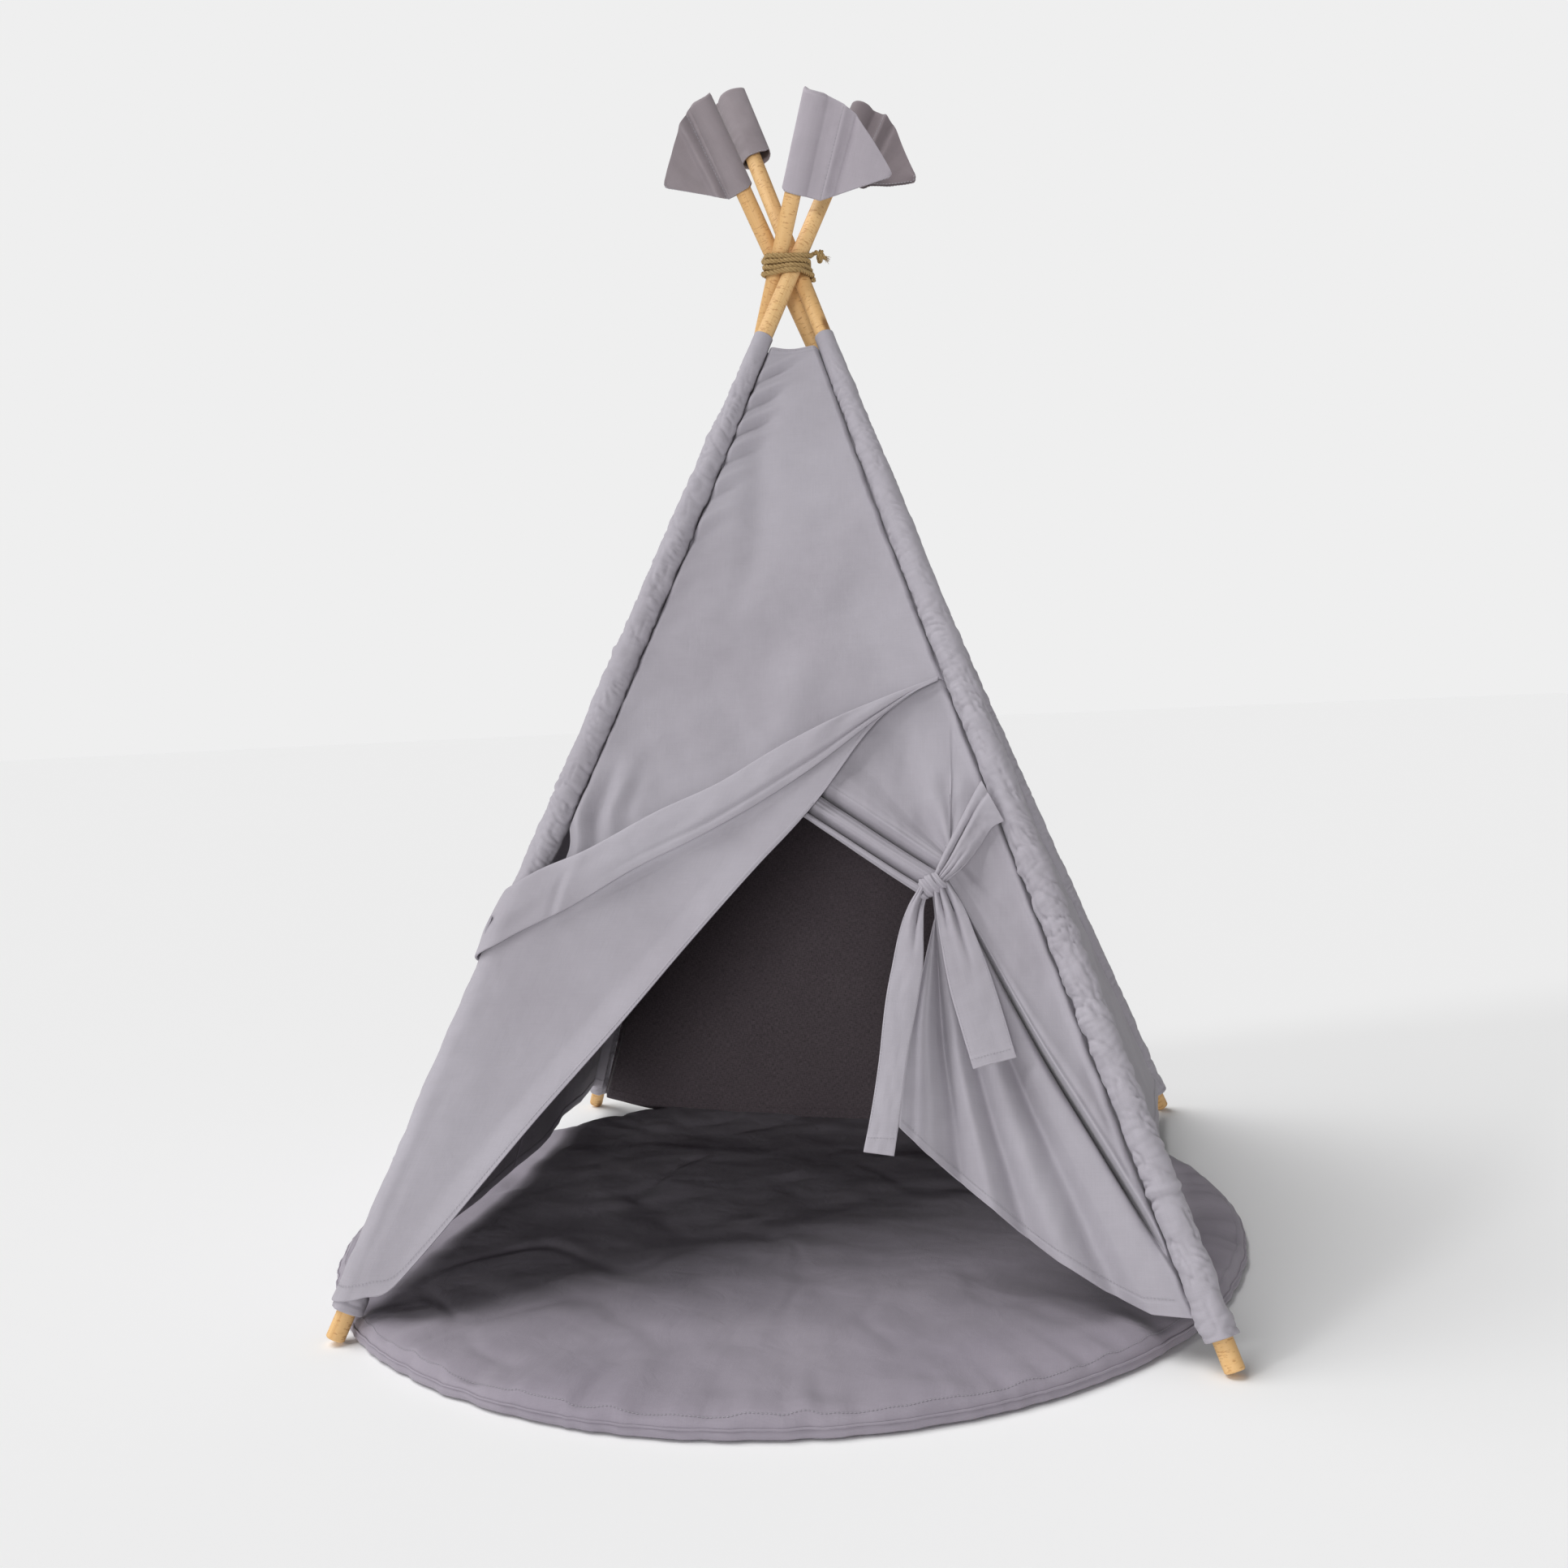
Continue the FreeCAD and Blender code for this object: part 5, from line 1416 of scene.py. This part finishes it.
def make_rope():
    """Four turns round the crossing poles, a knot with a short frayed end, and loose fibres."""
    low, high = (np.array(c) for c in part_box("lashing_rope"))
    middle_z, rope_radius, turns = (low[2] + high[2]) / 2, 0.0035, 4
    pitch = (high[2] - low[2] - 2 * rope_radius) / turns
    reach = POLE_RADIUS / AXES["front_left"][1][2] + rope_radius + 0.0007
    points = []
    per_turn = 96
    for step in range(per_turn * turns + 1):
        share = step / per_turn
        heading = share * 2 * math.pi + 0.25
        z = middle_z + (share - turns / 2) * pitch + 0.0030 * math.sin(heading) - 0.0030 * math.cos(heading)
        direction = np.array([math.cos(heading), math.sin(heading), 0])
        outermost = max((pole_at(corner, np.array(z)) for corner in CORNERS), key=direction.dot)
        spot = outermost + direction * reach
        spot[2] = z + 0.0005 * math.sin(share * 9.7)
        points.append(spot)
    points = np.array(points)
    steps = run_of(points)
    line = sample(points, steps, np.linspace(0, steps[-1], int(steps[-1] / 0.0016)))
    for _ in range(3):
        line[1:-1] = (line[:-2] + line[1:-1] * 2 + line[2:]) / 4
    rope = Piece("lashing_rope_jute")
    twisted(rope, line, rope_radius * 1.06, 0.019)
    rope.build([rope_jute], "front_frame", ["lashing_rope"])

    knot_low, knot_high = (np.array(c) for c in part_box("lashing_knot"))
    root = np.array([knot_low[0], (knot_low[1] + knot_high[1]) / 2, (knot_low[2] + knot_high[2]) / 2])
    root = root + np.array([0.004, 0, 0])
    around_knot = [
        (-0.004, -0.004, 0.003), (0.003, -0.008, 0.004), (0.007, -0.003, -0.005),
        (0.004, 0.005, -0.005), (0.003, 0.005, 0.005), (0.008, -0.001, 0.007),
        (0.010, -0.004, 0.000), (0.013, -0.003, -0.003), (0.015, -0.002, -0.004),
    ]
    bend = [line[-1]] + [root + np.array(step) for step in around_knot]
    t = np.linspace(0, 1, len(bend))
    fine = np.linspace(0, 1, 110)
    path = np.stack([through(list(zip(t, [p[k] for p in bend])))(fine) for k in range(3)], -1)
    tied = Piece("lashing_knot_jute")
    twisted(tied, path, rope_radius * 0.92, 0.020)
    rng = np.random.default_rng(7)
    tip, heading = path[-1], unit(path[-1] - path[-4])
    for _ in range(46):
        spread = unit(heading + rng.normal(0, 0.42, 3))
        length = rng.uniform(0.004, 0.009)
        s = np.linspace(0, 1, 6)[:, None]
        droop = np.array([0, 0, -1]) * rng.uniform(-0.001, 0.002)
        hair = tip + rng.normal(0, 0.0011, 3) - heading * 0.002 + spread * length * s + droop * s**2
        tied.tube(hair, 0.00016, sides=4)
    tied.build([rope_jute], "front_frame", ["lashing_knot"])

    fuzz = Piece("lashing_fibres")
    _, u, v = frame_of(line)
    for _ in range(240):
        i = rng.integers(4, len(line) - 4)
        angle = rng.uniform(0, 2 * math.pi)
        away = u[i] * math.cos(angle) + v[i] * math.sin(angle)
        centre = np.array([0, 0, line[i][2]])
        if away @ unit(line[i] - centre) < 0.1:
            continue
        along = unit(line[i + 2] - line[i - 2]) * rng.choice([-1, 1])
        s = np.linspace(0, 1, 5)[:, None]
        length = rng.uniform(0.002, 0.0055)
        reach_out = (away * 0.5 + along * 0.8 + rng.normal(0, 0.15, 3)) * length
        hair = line[i] + away * rope_radius * 0.9 + reach_out * s + away * 0.0008 * np.sin(s * 3)
        fuzz.tube(hair, 0.00011, sides=4)
    fuzz.build([rope_jute], "front_frame")


make_rope()


# ---------------------------------------------------------------- mat
def make_mat():
    """The round padded mat: a crowned top that puckers at its sewn rim, and an underside."""
    low, high = (np.array(c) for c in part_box("mat_top_cover"))
    centre, radius, height = (low + high)[:2] / 2, (high[0] - low[0]) / 2, high[2]
    around = 560
    seam_z = 0.0135
    angle = np.arange(around) * 2 * math.pi / around
    inner = np.linspace(0.004, 0.80, 70)
    rr = np.concatenate([inner, np.linspace(0.80, 1.0, 56)[1:]])
    a, r = np.meshgrid(angle, rr, indexing="ij")
    x, y = np.cos(a), np.sin(a)
    edge = (1 - r) * radius
    crown = seam_z + (height + 0.002 - seam_z) * (1 - np.exp(-edge / 0.019)) ** 0.62
    wx, wy = x * r * radius, y * r * radius
    swell = 0.0060 * noise(wx * 5, wy * 5, 601, 3) + 0.0018 * noise(wx * 14, wy * 14, 605, 2)
    ridges = crease(noise(wx * 4.2 + 3, wy * 4.2, 611, 2), 0.10)
    ridges = ridges * (0.4 + 0.6 * ramp(noise(wx * 3, wy * 3, 612), -0.2, 0.5))
    swell = swell - 0.0045 * ridges
    pucker = noise3(x * 11, y * 11, 0.3, 615) + 0.7 * noise3(x * 26, y * 26, 0.8, 616)
    pull = 0.0075 * pucker * ramp(edge, 0.001, 0.012) * np.exp(-edge / 0.060)
    flow = noise3(x * 7 + edge * 3, y * 7, edge * 5, 618) * 0.004 * np.exp(-edge / 0.13)
    flow = flow * ramp(edge, 0.002, 0.03)
    z = crown + (swell * ramp(edge, 0.004, 0.06)) + pull + flow
    z = np.minimum(z, height + 0.006)
    z = np.maximum(z, 0.0040 + seam_z * 0.7)
    wobble = radius * (1 - 0.0060 * np.abs(pucker) - 0.002 * (noise3(x * 3, y * 3, 0.1, 620)))
    px, py = x * r * wobble + centre[0], y * r * wobble + centre[1]
    top = np.stack([px, py, z], -1)
    side_share = np.linspace(0, 1, 11)
    aa, ss = np.meshgrid(angle, side_share, indexing="ij")
    bulge = 0.0024 * np.sin(math.pi * ss) + 0.0012 * noise3(np.cos(aa) * 30, np.sin(aa) * 30, ss * 1.5, 622)
    edge_r = (wobble[:, -1][:, None] + bulge - 0.0012 * ramp(ss, 0.8, 1.0))
    side_z = z[:, -1][:, None] * (1 - ss) + 0.0016 * ss - 0.0006 * np.sin(math.pi * ss)
    side = np.stack([np.cos(aa) * edge_r + centre[0], np.sin(aa) * edge_r + centre[1], side_z], -1)
    under_r = np.linspace(1, 0.004, 40)
    a2, u2 = np.meshgrid(angle, under_r, indexing="ij")
    last = edge_r[:, -1][:, None]
    under_x, under_y = np.cos(a2) * last * u2 + centre[0], np.sin(a2) * last * u2 + centre[1]
    under = np.stack([under_x, under_y, 0.0012 + 0 * u2], -1)
    cover_grid = np.concatenate([top, side[:, 1:]], 1)
    side_uv = np.stack([aa[:, 1:] * radius, ss[:, 1:] * 0.014], -1)
    whole = np.concatenate([cover_grid, under[:, 1:]], 1)
    n, m = whole.shape[:2]
    piece = Piece("mat_padded")
    uv = np.concatenate([np.stack([wx, wy], -1), side_uv, under[:, 1:, :2]], 1)
    piece.add(whole, ring_quads(n, m), uv)
    for column, order in ((0, 1), (m - 1, -1)):
        base = piece.count
        piece.add(whole[:, column].mean(0)[None], np.zeros((0, 4), int), [[0, 0]])
        ring = np.arange(n) * m + column
        following = np.roll(ring, -order)
        piece.span(np.stack([np.full(n, base), ring, following, following], -1))
    layers = ["mat_top_cover", "mat_underside", "mat_filling"]
    body = piece.build([mat_cotton, thread], "front_frame", layers)
    seam = Piece("mat_rim_seam")
    ring = np.vstack([top[:, -1], top[:1, -1]])
    outward = unit((ring - np.array([centre[0], centre[1], 0])) * np.array([1, 1, 0]))
    seam.tube(ring + outward * 0.0006, 0.0014, sides=8)
    normals = facing(grid_normals(top, closed=True), np.array([0, 0, 1]))
    once_round = np.append(np.arange(around), 0)
    seam.sew(top, normals, (once_round, -5), 0.0002, pitch=0.0045)
    rim_piece = seam.build([mat_cotton, thread], "front_frame")
    for obj in (body, rim_piece):
        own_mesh(obj)


make_mat()
